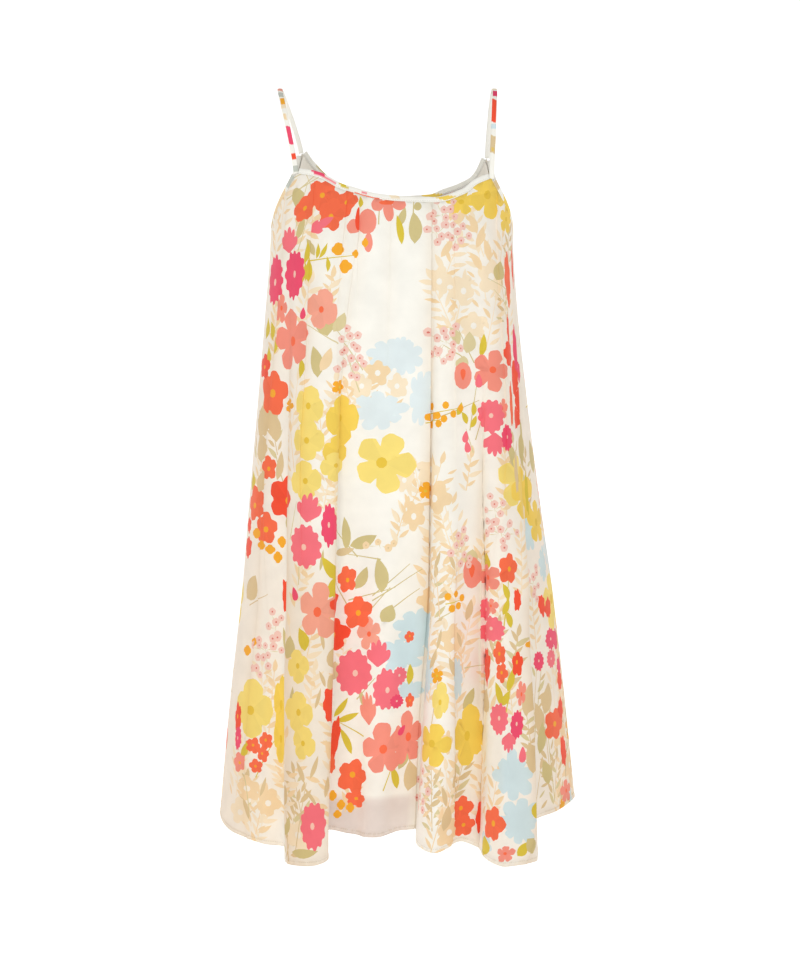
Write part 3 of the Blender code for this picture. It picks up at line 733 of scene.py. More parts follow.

# %% [markdown]
# The front's print is one table, laid out as the picture shows it. The motifs are ordinary garden ones, big
# ones among small ones, with bare cloth left in the middle of the chest. Rows that come later lie on top.
# Places and sizes are in pixels of the picture.

# %% Print of the front
MOTIFS = [
    # kind and dye, then for each motif: across and down the picture, width, height, and any turn in degrees
    # pale sprays of leaves behind the flowers
    ("foliage", "cream", (300, 400, 26, 56, 8)),
    ("foliage", "peach", (322, 430, 24, 60, -6)),
    ("foliage", "cream", (326, 480, 22, 60, 10)),
    ("foliage", "peach", (298, 452, 24, 56, -10)),
    ("foliage", "cream", (314, 500, 20, 40, 16)),
    ("foliage", "peach", (350, 400, 20, 40, -14)),
    ("foliage", "cream", (332, 395, 18, 44, 8)),
    ("foliage", "peach", (305, 560, 14, 50, -6)),
    ("foliage", "cream", (300, 585, 20, 40, 14)),
    ("foliage", "peach", (310, 650, 26, 44, 12), (322, 730, 18, 60, -4)),
    ("foliage", "cream", (312, 690, 16, 50, 8)),
    ("foliage", "tan", (292, 830, 26, 70, 16), (300, 800, 24, 60, -14)),
    ("foliage", "peach", (322, 775, 22, 60, 10), (283, 760, 14, 60, 6)),
    ("foliage", "cream", (272, 790, 26, 60, -8)),
    ("foliage", "tan", (244, 800, 18, 50, 10)),
    ("foliage", "cream", (262, 830, 26, 40, 20)),
    ("foliage", "tan", (440, 600, 26, 60, 6)),
    ("foliage", "peach", (426, 560, 22, 50, 10)),
    ("foliage", "tan", (434, 800, 22, 70, -6)),
    ("foliage", "peach", (452, 790, 20, 60, 10), (436, 680, 18, 50, 6)),
    ("foliage", "cream", (456, 690, 20, 60, -10)),
    ("foliage", "tan", (462, 780, 20, 50, 14)),
    ("foliage", "cream", (470, 630, 26, 60, 10)),
    ("foliage", "peach", (462, 655, 22, 50, -16), (484, 780, 18, 50, 8)),
    ("foliage", "cream", (500, 600, 20, 50, -10)),
    ("foliage", "tan", (498, 640, 18, 40, 12)),
    ("foliage", "peach", (512, 700, 18, 50, -8), (456, 560, 22, 50, 16)),
    ("foliage", "cream", (446, 530, 24, 50, -18)),
    ("foliage", "peach", (402, 520, 22, 40, 16)),
    ("foliage", "cream", (418, 480, 24, 40, -12)),
    ("foliage", "tan", (508, 240, 14, 50, 6), (500, 300, 18, 40, -12)),
    ("foliage", "peach", (498, 250, 20, 40, 14)),
    ("foliage", "tan", (526, 480, 12, 60, 6), (510, 460, 16, 50, -8)),
    ("foliage", "peach", (470, 470, 20, 40, 10)),
    ("foliage", "tan", (556, 780, 18, 50, 10), (530, 740, 20, 60, -10)),
    ("foliage", "cream", (286, 200, 26, 60, 10)),
    ("foliage", "peach", (279, 232, 14, 50, -5)),
    ("foliage", "cream", (300, 235, 20, 44, 20), (316, 222, 16, 30, -10)),
    ("foliage", "peach", (276, 330, 12, 60)),
    ("foliage", "cream", (308, 300, 22, 50, 15), (463, 215, 34, 26, 60), (476, 236, 36, 44, -20),
     (450, 262, 36, 56, 20), (480, 275, 40, 60, -10), (458, 305, 40, 64, 10), (440, 300, 30, 60, -25),
     (490, 320, 30, 56, 15), (508, 320, 12, 60)),
    ("foliage", "peach", (372, 372, 40, 40, 20)),
    ("foliage", "cream", (364, 395, 36, 44, -20), (395, 400, 24, 40, 10)),
    ("foliage", "tan", (263, 430, 18, 56, 10), (275, 430, 16, 50, -15)),
    ("foliage", "peach", (330, 300, 14, 60, 8), (262, 470, 14, 50, 5)),
    ("foliage", "cream", (331, 490, 12, 50)),
    ("foliage", "peach", (440, 480, 40, 50, 15)),
    ("foliage", "cream", (452, 520, 44, 56, -15)),
    ("foliage", "peach", (412, 500, 40, 50, 25)),
    ("foliage", "cream", (430, 545, 40, 60, 5)),
    ("foliage", "peach", (444, 585, 34, 66, -8)),
    ("foliage", "cream", (458, 575, 26, 60, 12)),
    ("foliage", "peach", (436, 640, 26, 60, 8)),
    ("foliage", "cream", (448, 650, 30, 56, -12)),
    ("foliage", "peach", (480, 555, 24, 44, 20), (505, 480, 18, 70)),
    ("foliage", "cream", (522, 560, 16, 70, 5)),
    ("foliage", "peach", (535, 620, 18, 60, -5), (300, 770, 34, 70, 10), (315, 800, 30, 60, -12)),
    ("foliage", "cream", (290, 805, 36, 66, 18), (250, 800, 40, 60, -10)),
    ("foliage", "peach", (262, 815, 34, 50, 15), (272, 700, 22, 70, 5)),
    ("foliage", "cream", (300, 640, 26, 40, -15)),
    ("foliage", "peach", (330, 690, 16, 60), (430, 790, 30, 70, 6)),
    ("foliage", "cream", (446, 800, 30, 70, -10)),
    ("foliage", "peach", (436, 840, 30, 46, 12), (478, 790, 26, 60, -8), (498, 800, 24, 60, 10)),
    ("foliage", "tan", (536, 700, 26, 70, 8), (548, 740, 28, 80, -8), (540, 790, 30, 50, 12)),
    ("foliage", "cream", (552, 700, 24, 60)),
    ("foliage", "peach", (490, 690, 26, 50, -20)),
    ("foliage", "tan", (515, 660, 18, 60, 10)),
    ("foliage", "cream", (262, 690, 20, 60), (240, 770, 24, 60, 5)),
    ("foliage", "peach", (350, 800, 24, 34, 20)),
    ("foliage", "cream", (343, 660, 16, 40)),
    # pale blue clouds and peach blossoms
    ("cloud", "sky", (390, 354, 40, 30), (402, 346, 22, 22), (382, 410, 52, 42, 20),
     (406, 356, 30, 34, 40), (421, 397, 22, 56, 10)),
    ("blossom", "peach", (378, 372, 24, 26)),
    ("blossom", "cream", (362, 385, 22, 24, 20), (398, 385, 22, 24, 10), (490, 276, 26, 34),
     (462, 290, 26, 30, 20), (440, 280, 24, 28, 10), (474, 325, 26, 28)),
    ("blossom", "peach", (440, 498, 24, 34, 10), (415, 515, 22, 30, -10)),
    ("blossom", "cream", (428, 470, 24, 28), (405, 480, 20, 26, 15)),
    ("cloud", "blue", (529, 531, 18, 46), (544, 565, 9, 34), (411, 628, 44, 52), (401, 655, 40, 36, 30),
     (430, 678, 14, 48), (459, 678, 10, 40), (410, 692, 26, 26), (514, 778, 38, 48),
     (520, 828, 36, 46, 20), (492, 848, 20, 24)),
    ("blossom", "peach", (248, 792, 24, 26)),
    ("blossom", "cream", (240, 815, 22, 26, 10)),
    ("blossom", "peach", (268, 806, 24, 28, 20)),
    ("blossom", "cream", (300, 840, 26, 30)),
    ("blossom", "peach", (448, 838, 22, 28, 10), (447, 745, 10, 24), (425, 600, 20, 26),
     (452, 640, 22, 30, 10)),
    # stems
    ("stem", "sage", (308, 172, 3, 40, 50), (314, 190, 3, 36, -30), (300, 176, 3, 30, 70),
     (500, 285, 3, 40, -70), (502, 300, 3, 34, -50)),
    ("stem", "olive", (466, 345, 3, 40, -30), (456, 352, 3, 30, -60), (404, 600, 3, 40, 55)),
    ("stem", "tan", (436, 700, 3, 60, 6), (300, 820, 3, 70, 12), (288, 840, 3, 50, -6)),
    ("stem", "sage", (246, 790, 3, 50, -10)),
    ("stem", "olive", (480, 425, 3, 30, 20)),
    ("stem", "sage", (470, 440, 3, 26, -20), (312, 183, 4, 70, 62), (303, 205, 4, 50, 14),
     (305, 232, 4, 40, 20)),
    ("stem", "lime", (332, 258, 3, 50, 84), (305, 262, 3, 30, 14)),
    ("stem", "olive", (380, 210, 3, 30), (414, 205, 3, 22)),
    ("stem", "sage", (322, 333, 3, 40, -60), (347, 345, 3, 60, -35), (352, 368, 3, 50, -20)),
    ("stem", "olive", (456, 410, 3, 60, 70), (474, 405, 3, 50, 10), (344, 540, 3, 44, -40),
     (362, 556, 3, 40, -82), (372, 594, 3, 50, 74), (392, 580, 3, 50, 50), (398, 585, 3, 60, 58),
     (376, 604, 3, 44, 40), (340, 592, 3, 34, -30)),
    ("stem", "lime", (332, 590, 3, 60, 8)),
    ("stem", "sage", (452, 612, 3, 30, 60)),
    ("stem", "lime", (508, 600, 3, 60, 6)),
    ("stem", "tan", (258, 600, 3, 34, 66)),
    ("stem", "olive", (280, 470, 3, 40, -20)),
    ("stem", "sage", (294, 520, 3, 40, 15), (300, 560, 3, 50, 5)),
    ("stem", "lime", (350, 730, 3, 34, -62)),
    ("stem", "olive", (366, 690, 3, 30, 40)),
    ("stem", "lime", (392, 770, 3, 50, 20)),
    ("stem", "olive", (540, 700, 3, 90, 10), (552, 760, 3, 90, -8)),
    ("stem", "lime", (264, 760, 3, 50, 30)),
    ("stem", "olive", (410, 760, 3, 60)),
    ("stem", "sage", (476, 667, 3, 26, 85)),
    ("stem", "lime", (510, 700, 3, 60, 10)),
    # leaves
    ("leaf", "tan", (292, 720, 4, 20, -20), (318, 700, 4, 22, 15), (322, 680, 4, 18, -20),
     (314, 770, 5, 25, 20), (300, 775, 5, 23, -25), (286, 800, 4, 25, 15), (310, 800, 4, 25, -35),
     (325, 790, 4, 22, 10)),
    ("leaf", "olive", (288, 830, 4, 22, 20)),
    ("leaf", "tan", (302, 828, 4, 22, -20)),
    ("leaf", "peach", (326, 752, 4, 22, -12)),
    ("leaf", "tan", (262, 790, 4, 22, 20), (246, 812, 4, 22, -20)),
    ("leaf", "olive", (288, 520, 4, 20, 10), (284, 640, 4, 25, -6), (322, 560, 4, 22, 10)),
    ("leaf", "tan", (322, 640, 4, 22, -10)),
    ("leaf", "olive", (292, 700, 4, 25, 8)),
    ("leaf", "tan", (445, 800, 5, 23, -20), (438, 780, 4, 22, 20), (455, 780, 4, 22, 10),
     (434, 660, 5, 23, 20), (452, 668, 5, 22, -20), (440, 640, 4, 22, 10), (460, 640, 4, 18, -25),
     (438, 560, 4, 20, 20), (452, 560, 4, 20, -20), (470, 610, 8, 22, 15)),
    ("leaf", "olive", (300, 198, 20, 17, 70), (312, 247, 6, 20, -30), (302, 228, 7, 26, 20)),
    ("leaf", "lime", (361, 203, 7, 12)),
    ("leaf", "olive", (415, 228, 15, 32, -5), (402, 218, 9, 22, 20)),
    ("leaf", "lime", (400, 230, 8, 30, -12)),
    ("leaf", "olive", (325, 320, 24, 32, -20)),
    ("leaf", "sage", (340, 322, 12, 22, 30)),
    ("leaf", "olive", (317, 361, 14, 32, -10)),
    ("leaf", "peach", (327, 359, 12, 26, 25)),
    ("leaf", "tan", (265, 419, 14, 36, 20), (275, 425, 12, 34, -20), (263, 447, 12, 30, -10)),
    ("leaf", "olive", (498, 271, 12, 20, 20)),
    ("leaf", "peach", (460, 217, 8, 20, 30), (473, 224, 8, 22, -30), (464, 205, 7, 18, 10),
     (480, 237, 8, 24, 20), (487, 250, 8, 24, -20), (447, 248, 8, 22, 30), (476, 261, 8, 22, -40)),
    ("leaf", "sage", (469, 342, 15, 22, 10), (455, 335, 10, 20, -30)),
    ("leaf", "lime", (483, 345, 8, 24, 10)),
    ("leaf", "olive", (346, 533, 10, 34, -4), (364, 541, 14, 30, 68)),
    ("leaf", "tan", (344, 551, 9, 22, 78)),
    ("leaf", "olive", (362, 578, 12, 26, 28), (381, 575, 16, 36, -8), (388, 614, 18, 20, 30)),
    ("leaf", "tan", (252, 588, 12, 30, 35), (280, 465, 8, 30, 10), (262, 482, 14, 18, -60)),
    ("leaf", "lime", (328, 568, 10, 26, -25), (330, 588, 8, 20, 10), (303, 640, 12, 24, -20)),
    ("leaf", "olive", (290, 648, 10, 24, 10)),
    ("leaf", "lime", (488, 561, 8, 18, 20), (507, 592, 7, 18, -20), (507, 607, 7, 18, 20),
     (510, 620, 7, 18, -20), (460, 408, 6, 14, 20), (465, 417, 6, 14, -30), (474, 408, 6, 14),
     (474, 421, 6, 14, 30)),
    ("leaf", "olive", (520, 445, 10, 34, 10), (534, 455, 9, 34, -8), (512, 455, 8, 30, -20)),
    ("leaf", "tan", (328, 658, 9, 26, 5), (331, 684, 9, 22, -35), (333, 672, 7, 20, 25)),
    ("leaf", "lime", (341, 709, 7, 24, 35), (348, 719, 8, 24, 68), (346, 743, 8, 30, -25),
     (395, 780, 8, 26, -20)),
    ("leaf", "olive", (362, 700, 6, 20, -20)),
    ("leaf", "tan", (410, 778, 15, 32)),
    ("leaf", "olive", (404, 760, 10, 26, 20)),
    ("leaf", "lime", (410, 675, 8, 22), (500, 695, 8, 24, -20), (512, 681, 8, 24, 15),
     (507, 700, 8, 18, 30)),
    ("leaf", "tan", (487, 701, 10, 26, 20), (528, 700, 12, 34, 12), (540, 720, 12, 34, -15)),
    ("leaf", "olive", (543, 740, 9, 32, 8)),
    ("leaf", "tan", (532, 760, 12, 32, -10), (548, 700, 10, 32, 15)),
    ("leaf", "olive", (548, 775, 10, 26, -20), (303, 858, 9, 32, 84)),
    ("leaf", "lime", (244, 752, 8, 22, 30)),
    ("leaf", "olive", (258, 725, 7, 26, 10)),
    ("leaf", "lime", (486, 850, 8, 20), (524, 854, 10, 16, 40)),
    ("leaf", "olive", (532, 850, 12, 18, -30)),
    ("leaf", "lime", (538, 812, 9, 20, 20)),
    ("leaf", "tan", (447, 822, 10, 26, 10)),
    ("leaf", "olive", (470, 700, 10, 24, 30)),
    ("leaf", "lime", (310, 270, 7, 26)),
    # lime blades
    ("blade", "lime", (319, 251, 5, 16, 5), (325, 251, 5, 18, 30), (329, 264, 5, 16, -5),
     (308, 253, 6, 24, 8), (307, 271, 5, 20, -5), (304, 275, 5, 20, 10), (268, 328, 5, 22, 10),
     (273, 330, 5, 20, -15), (269, 356, 5, 22, 5), (277, 342, 5, 22, -10), (302, 366, 6, 24),
     (253, 480, 6, 20)),
    # yellow flowers
    ("big", "yellow", (460, 203, 28, 26, 10), (488, 194, 36, 48, 25), (507, 220, 16, 26)),
    ("round", "lemon", (311, 405, 28, 42), (310, 440, 30, 40, 15)),
    ("round", "yellow", (343, 418, 30, 48), (335, 452, 22, 34, 10)),
    ("round", "lemon", (307, 481, 28, 38, -10), (331, 466, 20, 28)),
    ("big", "lemon", (384, 462, 58, 58), (512, 480, 20, 50)),
    ("big", "yellow", (522, 494, 20, 50, 10), (537, 521, 14, 42)),
    ("round", "lemon", (254, 711, 35, 56)),
    ("round", "yellow", (281, 706, 16, 60), (280, 740, 14, 50, 10)),
    ("round", "lemon", (299, 668, 20, 34), (300, 714, 25, 42), (304, 745, 22, 34, 10), (441, 703, 17, 36)),
    ("big", "yellow", (437, 748, 28, 42)),
    ("round", "yellow", (470, 738, 29, 60)),
    ("big", "amber", (290, 405, 10, 14), (338, 386, 10, 14), (438, 677, 12, 14), (425, 490, 12, 16)),
    # coral flowers
    ("round", "salmon", (323, 309, 29, 40)),
    ("big", "coral", (295, 340, 32, 54), (283, 308, 10, 28), (490, 370, 33, 37)),
    ("big", "salmon", (317, 612, 34, 54)),
    ("big", "coral", (491, 578, 20, 28), (383, 753, 40, 50), (408, 740, 28, 50)),
    ("petal", "coral", (368, 222, 19, 26), (369, 243, 9, 20), (354, 227, 13, 15)),
    ("petal", "red", (358, 220, 4, 24)),
    ("petal", "coral", (378, 205, 13, 15), (389, 211, 11, 24, -12)),
    ("petal", "scarlet", (388, 203, 18, 5)),
    ("petal", "coral", (400, 205, 13, 13)),
    ("big", "salmon", (370, 634, 22, 30)),
    ("big", "coral", (508, 859, 26, 16), (567, 795, 20, 22), (503, 408, 8, 20), (522, 695, 8, 24),
     (494, 607, 10, 16)),
    # orange-red poppies
    ("lean", "scarlet", (324, 195, 32, 32, 20), (306, 210, 18, 32, 42), (346, 204, 20, 30, 25),
     (333, 216, 26, 32, 10)),
    ("poppy", "scarlet", (276, 392, 25, 47)),
    ("poppy", "red", (266, 366, 12, 22)),
    ("poppy", "scarlet", (270, 467, 14, 26)),
    ("poppy", "red", (281, 498, 20, 42, 5)),
    ("poppy", "scarlet", (258, 504, 16, 34), (268, 528, 22, 34, 10)),
    ("sliver", "red", (247, 547, 9, 26), (248, 524, 7, 20)),
    ("poppy", "scarlet", (347, 579, 19, 27), (358, 612, 28, 34, 10)),
    ("sliver", "red", (335, 604, 13, 42, 4)),
    ("poppy", "red", (341, 634, 17, 32)),
    ("sliver", "red", (286, 596, 8, 40)),
    ("poppy", "scarlet", (509, 568, 18, 30)),
    ("sliver", "red", (518, 600, 9, 28), (542, 605, 9, 26), (549, 609, 8, 26)),
    ("poppy", "red", (518, 664, 10, 24)),
    ("poppy", "scarlet", (501, 655, 14, 22), (503, 674, 13, 20)),
    ("sliver", "red", (489, 668, 9, 46), (507, 352, 9, 34), (513, 379, 8, 40), (517, 400, 6, 30),
     (515, 418, 7, 26)),
    ("sliver", "scarlet", (507, 280, 7, 56)),
    ("sliver", "red", (512, 270, 4, 56)),
    ("poppy", "scarlet", (352, 778, 31, 36), (355, 802, 20, 18)),
    ("sliver", "red", (334, 742, 13, 50, 6)),
    ("sliver", "scarlet", (331, 767, 10, 24)),
    ("sliver", "red", (329, 706, 10, 44)),
    ("poppy", "scarlet", (266, 743, 13, 18), (253, 748, 13, 16, 20), (262, 756, 12, 16),
     (255, 769, 13, 15), (463, 812, 20, 26), (466, 829, 20, 22, 10)),
    ("sliver", "red", (480, 822, 8, 46)),
    ("poppy", "scarlet", (496, 828, 20, 36), (555, 727, 16, 32)),
    ("sliver", "red", (562, 710, 8, 28), (565, 752, 8, 34), (562, 680, 8, 26)),
    ("poppy", "scarlet", (410, 637, 10, 12), (410, 702, 8, 14)),
    # pink zinnias
    ("burst", "rose", (320, 227, 12, 20, 60), (291, 240, 16, 26)),
    ("zinnia", "pink", (296, 274, 19, 50), (278, 280, 15, 50)),
    ("zinnia", "rose", (491, 416, 26, 34)),
    ("burst", "rose", (495, 444, 20, 24, 180), (310, 507, 24, 30, 10)),
    ("zinnia", "rose", (307, 547, 30, 44)),
    ("zinnia", "pink", (328, 525, 13, 42)),
    ("zinnia", "rose", (354, 674, 37, 47)),
    ("burst", "rose", (379, 654, 24, 28)),
    ("zinnia", "rose", (386, 691, 28, 44), (400, 677, 14, 20)),
    ("zinnia", "pink", (397, 703, 14, 14)),
    ("zinnia", "rose", (312, 831, 25, 50), (485, 609, 12, 24), (498, 630, 21, 26), (484, 633, 14, 18),
     (501, 721, 19, 32)),
    ("zinnia", "pink", (518, 727, 12, 30)),
    ("burst", "rose", (510, 745, 14, 20, 180)),
    ("zinnia", "pink", (550, 640, 14, 22)),
    ("zinnia", "rose", (551, 660, 14, 18)),
    ("zinnia", "pink", (540, 662, 10, 20)),
    ("sliver", "pink", (558, 640, 8, 26), (518, 370, 6, 26)),
    ("zinnia", "pink", (507, 437, 10, 26)),
    ("poppy", "red", (237, 718, 6, 26)),
    ("zinnia", "pink", (237, 740, 6, 24)),
    ("poppy", "coral", (239, 765, 13, 18)),
    ("sliver", "pink", (562, 666, 7, 20)),
    # strips of flowers in the tight pleats at the right
    ("sliver", "pink", (514, 350, 4, 60)),
    ("sliver", "scarlet", (511, 405, 4, 50)),
    ("sliver", "olive", (521, 440, 4, 60)),
    ("sliver", "tan", (517, 470, 4, 50)),
    ("sliver", "lime", (527, 490, 4, 50)),
    ("sliver", "cream", (524, 520, 4, 50)),
    ("sliver", "red", (508, 330, 4, 40)),
    # buds and drops
    ("berries", "amber", (366, 243, 7, 10)),
    ("drop", "pink", (304, 313, 6, 12, 10)),
    ("bud", "coral", (463, 373, 18, 34, 180), (473, 570, 18, 40, 180)),
    ("drop", "pink", (295, 594, 6, 14, -20), (402, 732, 6, 12, 30)),
    ("petal", "olive", (418, 207, 8, 9)),
    ("drop", "rose", (466, 436, 7, 12, 10), (468, 446, 7, 12, -10)),
    ("burst", "coral", (368, 710, 16, 34, -8)),
    ("drop", "rose", (524, 757, 7, 16), (479, 380, 8, 14), (328, 222, 8, 16, 60)),
    # mustard berries
    ("berries", "amber", (339, 250, 15, 14), (356, 254, 8, 10), (346, 266, 13, 15)),
    ("sprig", "amber", (447, 410, 34, 16), (436, 420, 22, 14)),
    ("berries", "amber", (257, 533, 9, 11), (262, 545, 9, 11), (282, 541, 9, 13), (271, 549, 10, 11),
     (278, 557, 10, 14)),
    ("sprig", "amber", (455, 602, 18, 22)),
    ("berries", "amber", (255, 642, 8, 11), (247, 651, 8, 11), (530, 645, 9, 12), (332, 799, 9, 12),
     (341, 808, 10, 11), (350, 811, 10, 11), (337, 818, 9, 10)),
    # clusters of pale pink dots
    ("dots", "blush", (442, 214, 34, 34), (436, 232, 36, 26), (456, 236, 30, 30), (350, 340, 26, 30),
     (352, 362, 34, 38), (446, 340, 40, 34), (441, 356, 26, 22), (462, 548, 26, 44)),
    ("dots", "peach", (381, 545, 36, 18)),
    ("dots", "blush", (497, 508, 22, 30), (503, 532, 34, 32), (276, 627, 20, 34), (268, 650, 34, 34),
     (257, 672, 12, 18), (534, 582, 18, 44), (425, 795, 20, 56)),
]
print(sum(len(boxes) for _, _, *boxes in MOTIFS), "motifs in the table")

# %% [markdown]
# A line of sight through a place in the picture meets the hanging cloth somewhere. That point,
# measured along the folds, is where the motif has to be printed on the flat cloth. Where the cloth
# turns away from the eye, the motif is printed wider, so that it still looks as wide.

# %% From the picture to the flat cloth
EYE = np.array([0.0, -2.6, -0.308])
MIDDLE_PIXEL = (391.7, 350.0)  # the pixel that the line of sight straight ahead goes through
PIXEL = 0.0012  # width of a pixel at the shoulders' distance, in m
SEEN_COLUMNS, SEEN_ROWS = 1601, 241


def seen_surface():
    """The front as a grid that lines of sight can meet, with its place across at each column."""
    across = np.tile(np.linspace(-1, 1, SEEN_COLUMNS), SEEN_ROWS)
    share = np.repeat(np.linspace(0, 1, SEEN_ROWS), SEEN_COLUMNS)
    hem, top = hem_of(across, "front"), top_of(across, "front")
    points = hang(across, hem + (top - hem) * share, "front")
    rows, columns = np.meshgrid(np.arange(SEEN_ROWS - 1), np.arange(SEEN_COLUMNS - 1), indexing="ij")
    first = (rows * SEEN_COLUMNS + columns).ravel()
    quads = np.column_stack([first, first + 1, first + 1 + SEEN_COLUMNS, first + SEEN_COLUMNS])
    return points, BVHTree.FromPolygons(points.tolist(), quads.tolist())


def pixels_of(points):
    """Where points appear in the picture."""
    size = PIXEL * (points[:, 1] - EYE[1]) / -EYE[1]
    return points[:, 0] / size + MIDDLE_PIXEL[0], MIDDLE_PIXEL[1] - (points[:, 2] - EYE[2]) / size


def meet(px, py):
    """The point of the front behind a pixel: its place along the cloth, height, distance and facing."""
    aim = Vector(((px - MIDDLE_PIXEL[0]) * PIXEL, -EYE[1], -(py - MIDDLE_PIXEL[1]) * PIXEL)).normalized()
    point, normal, face, _ = seen_tree.ray_cast(Vector(EYE.tolist()), aim)
    if point is None:
        point, normal, face, _ = seen_tree.find_nearest(Vector(EYE.tolist()) + aim * 2.5)
    column = face % (SEEN_COLUMNS - 1)
    across = -1 + 2 * (column + 0.5) / (SEEN_COLUMNS - 1)
    along = to_flat(np.array([across]), np.array([point.z]), "front")[0]
    facing = abs(normal.y) / max(math.hypot(normal.x, normal.y), 1e-6)
    return along, point.z, point.y, facing


seen_points, seen_tree = seen_surface()
seen_pixels = pixels_of(seen_points)
print("the front fills", np.round(np.ptp(seen_pixels, axis=1)), "pixels of the picture")

# %% [markdown]
# Each row of the table is moved in this way. Its left and right ends are looked up too, and the
# motif gets the width between them. Where one end lands on another fold, the width comes from how
# far the cloth there turns away. A flower at the very edge goes on round it, and none is wider than
# it would be in life.

# %% The rows on the flat cloth
ROUND_FLOWERS = ("poppy", "zinnia", "big", "blossom", "cloud", "round")
LEVEL = 2.6  # pixels: points of the front this close to a row's height show where its edges are
EDGE_IN = 0.7  # pixels that a line of sight stays inside the edge
AT_EDGE = 3  # pixels from the edge, within which a flower goes on round it
LIKELY = (0.8, 3.2)  # least and greatest width on the cloth, as a share of the width that shows
LEAST_FACING = 0.33  # keeps a motif from getting too wide where the cloth is seen edge-on
NARROWEST, WIDEST = 0.62, 1.3  # of a flower, as a share of its height


def on_cloth(kind, dye, px, py, wide, high, turn=0):
    """One row of the table, in centimetres on the flat cloth."""
    apart = np.abs(seen_pixels[1] - py)
    level = apart < max(LEVEL, apart.min() + 0.5)
    low, end = seen_pixels[0][level].min(), seen_pixels[0][level].max()
    inside = min(max(px, low + 1), end - 1)
    middle, height, depth, facing = meet(inside, py)
    pixel = PIXEL * (depth - EYE[1]) / -EYE[1]
    left = meet(max(inside - wide / 2, low + EDGE_IN), py)[0]
    right = meet(min(inside + wide / 2, end - EDGE_IN), py)[0]
    plain, width = wide * pixel, abs(right - left)
    if LIKELY[0] * plain <= width <= LIKELY[1] * plain:
        middle = (left + right) / 2
    else:
        width = plain / max(facing, LEAST_FACING)
    spread = NARROWEST * high * pixel if kind in ROUND_FLOWERS else 0
    if min(px - wide / 2 - low, end - px - wide / 2) < AT_EDGE and width < spread:
        hand = -1 if px < MIDDLE_PIXEL[0] else 1
        middle += hand * (spread - width) / 2
        width = spread
    if kind in ROUND_FLOWERS or kind == "burst":
        width = min(width, WIDEST * high * pixel)
    return kind, dye, middle * 100, height * 100, width * 100, high * pixel * 100, turn


FRONT_ROWS = [on_cloth(kind, dye, *box) for kind, dye, *boxes in MOTIFS for box in boxes]
print("the first motif is", round(FRONT_ROWS[0][4], 1), "cm wide on the flat cloth")

# %% [markdown]
# The print is drawn for the front alone. The cloth comes off a roll, so the same rows return one
# repeat further along, where they fill the sides. The back is cut from the same cloth turned over.

# %% Print of the back and the sides
SLANT = 0.9  # how far an outline slants with the folds, as a share of their own slant
SQUEEZE = 0.86  # the back is less full, so its rows lie closer together
NECK_BAND, TURN_OVER = -14, -97.0  # in cm: rows below the band swap places from top to bottom
REPEAT, DROP, FALL = 34, 17, 74  # cm from one repeat of the print to the next, along, down, and round
LOWEST = -88  # in cm: a row that would fall below this one goes up again
REACHED = {
    # height, and how far the rows reach from the middle, in m
    "front": [(-0.88, 0.410), (-0.75, 0.375), (-0.60, 0.315), (-0.40, 0.250), (-0.15, 0.195)],
    "back": [(-0.88, 0.155), (-0.60, 0.180), (-0.40, 0.190), (-0.15, 0.175)],
}


def back_rows(rows):
    """The back is cut from the same cloth further along the roll, so its print is shifted and turned."""
    moved = []
    for kind, dye, x, z, wide, high, turn in rows:
        lower = TURN_OVER - z if z < NECK_BAND else z
        moved.append((kind, dye, -x * SQUEEZE, lower, wide, high, turn + 180))
    return moved


def go_round(rows, side):
    """Goes on with the print to the side seams, with the same rows one repeat further along the cloth."""
    more = []
    for hand in (-1, 1):
        for kind, dye, x, z, wide, high, turn in rows:
            far = x + hand * REPEAT
            low = z - DROP if z - DROP > LOWEST else z - DROP + FALL
            reached = np.interp(low / 100, *zip(*REACHED[side])) * 100
            end = to_flat(np.array([1.0]), np.array([low / 100]), side)[0] * 100
            if reached + wide * 0.3 < abs(far) < end + 2:
                more.append((kind, dye, far, low, wide, high, turn))
    return more + rows


def anticlockwise(loop):
    """The cutter fills the left side of an outline, so each one has to run anticlockwise."""
    after = np.roll(loop, -1, axis=0)
    area = (loop[:, 0] * after[:, 1] - after[:, 0] * loop[:, 1]).sum()
    return loop if area > 0 else loop[::-1]


def along_folds(loop, x, z, side):
    """Slants an outline as the folds beside it are slanted."""
    across = np.full(len(loop), from_flat(np.array([x]), np.array([z]), side)[0])
    slant = to_flat(across, loop[:, 1], side) - x
    return loop + np.column_stack([slant * SLANT, np.zeros(len(loop))])


def drawn(rows, side):
    """Every outline of a panel's print, lowest first, in metres on the flat cloth."""
    loops = []
    for kind, dye, x, z, wide, high, turn in rows:
        x, z = x / 100, z / 100
        for loop, tint in draw(kind, dye, x, z, wide / 100, high / 100, turn):
            loops.append((anticlockwise(along_folds(loop, x, z, side)), tint))
    return loops


ROWS = {"front": FRONT_ROWS, "back": back_rows(FRONT_ROWS)}
PRINT = {side: drawn(go_round(rows, side), side) for side, rows in ROWS.items()}
print("outlines in the print:", {side: len(loops) for side, loops in PRINT.items()})

# %% [markdown]
# Now the cutting. The panel's edge, every motif, the lines of the creases, the fold of the hem and a
# fine grid go into one triangulation. It keeps all of these lines as edges of its triangles, and it
# says which outlines each triangle lies in. The last of them is the motif on top.

# %% Cut the print into the cloth
GRID = 0.007
FINE_Z = -0.19  # above this the grid is three times as fine across, for the gathers
HEM_FOLD = 0.0052  # height of the narrow fold at the hem
HEM_STEP = 0.0008  # height over which the cloth steps down from the fold
CREASE_POINTS = (-0.0042, -0.0020, -0.0008, 0.0003, 0.0012, 0.0021, 0.0032, 0.0050)
FAINTEST = 0.0003  # a lower ridge gets no lines of its own
SIDE_POINTS = 118  # points down each side seam


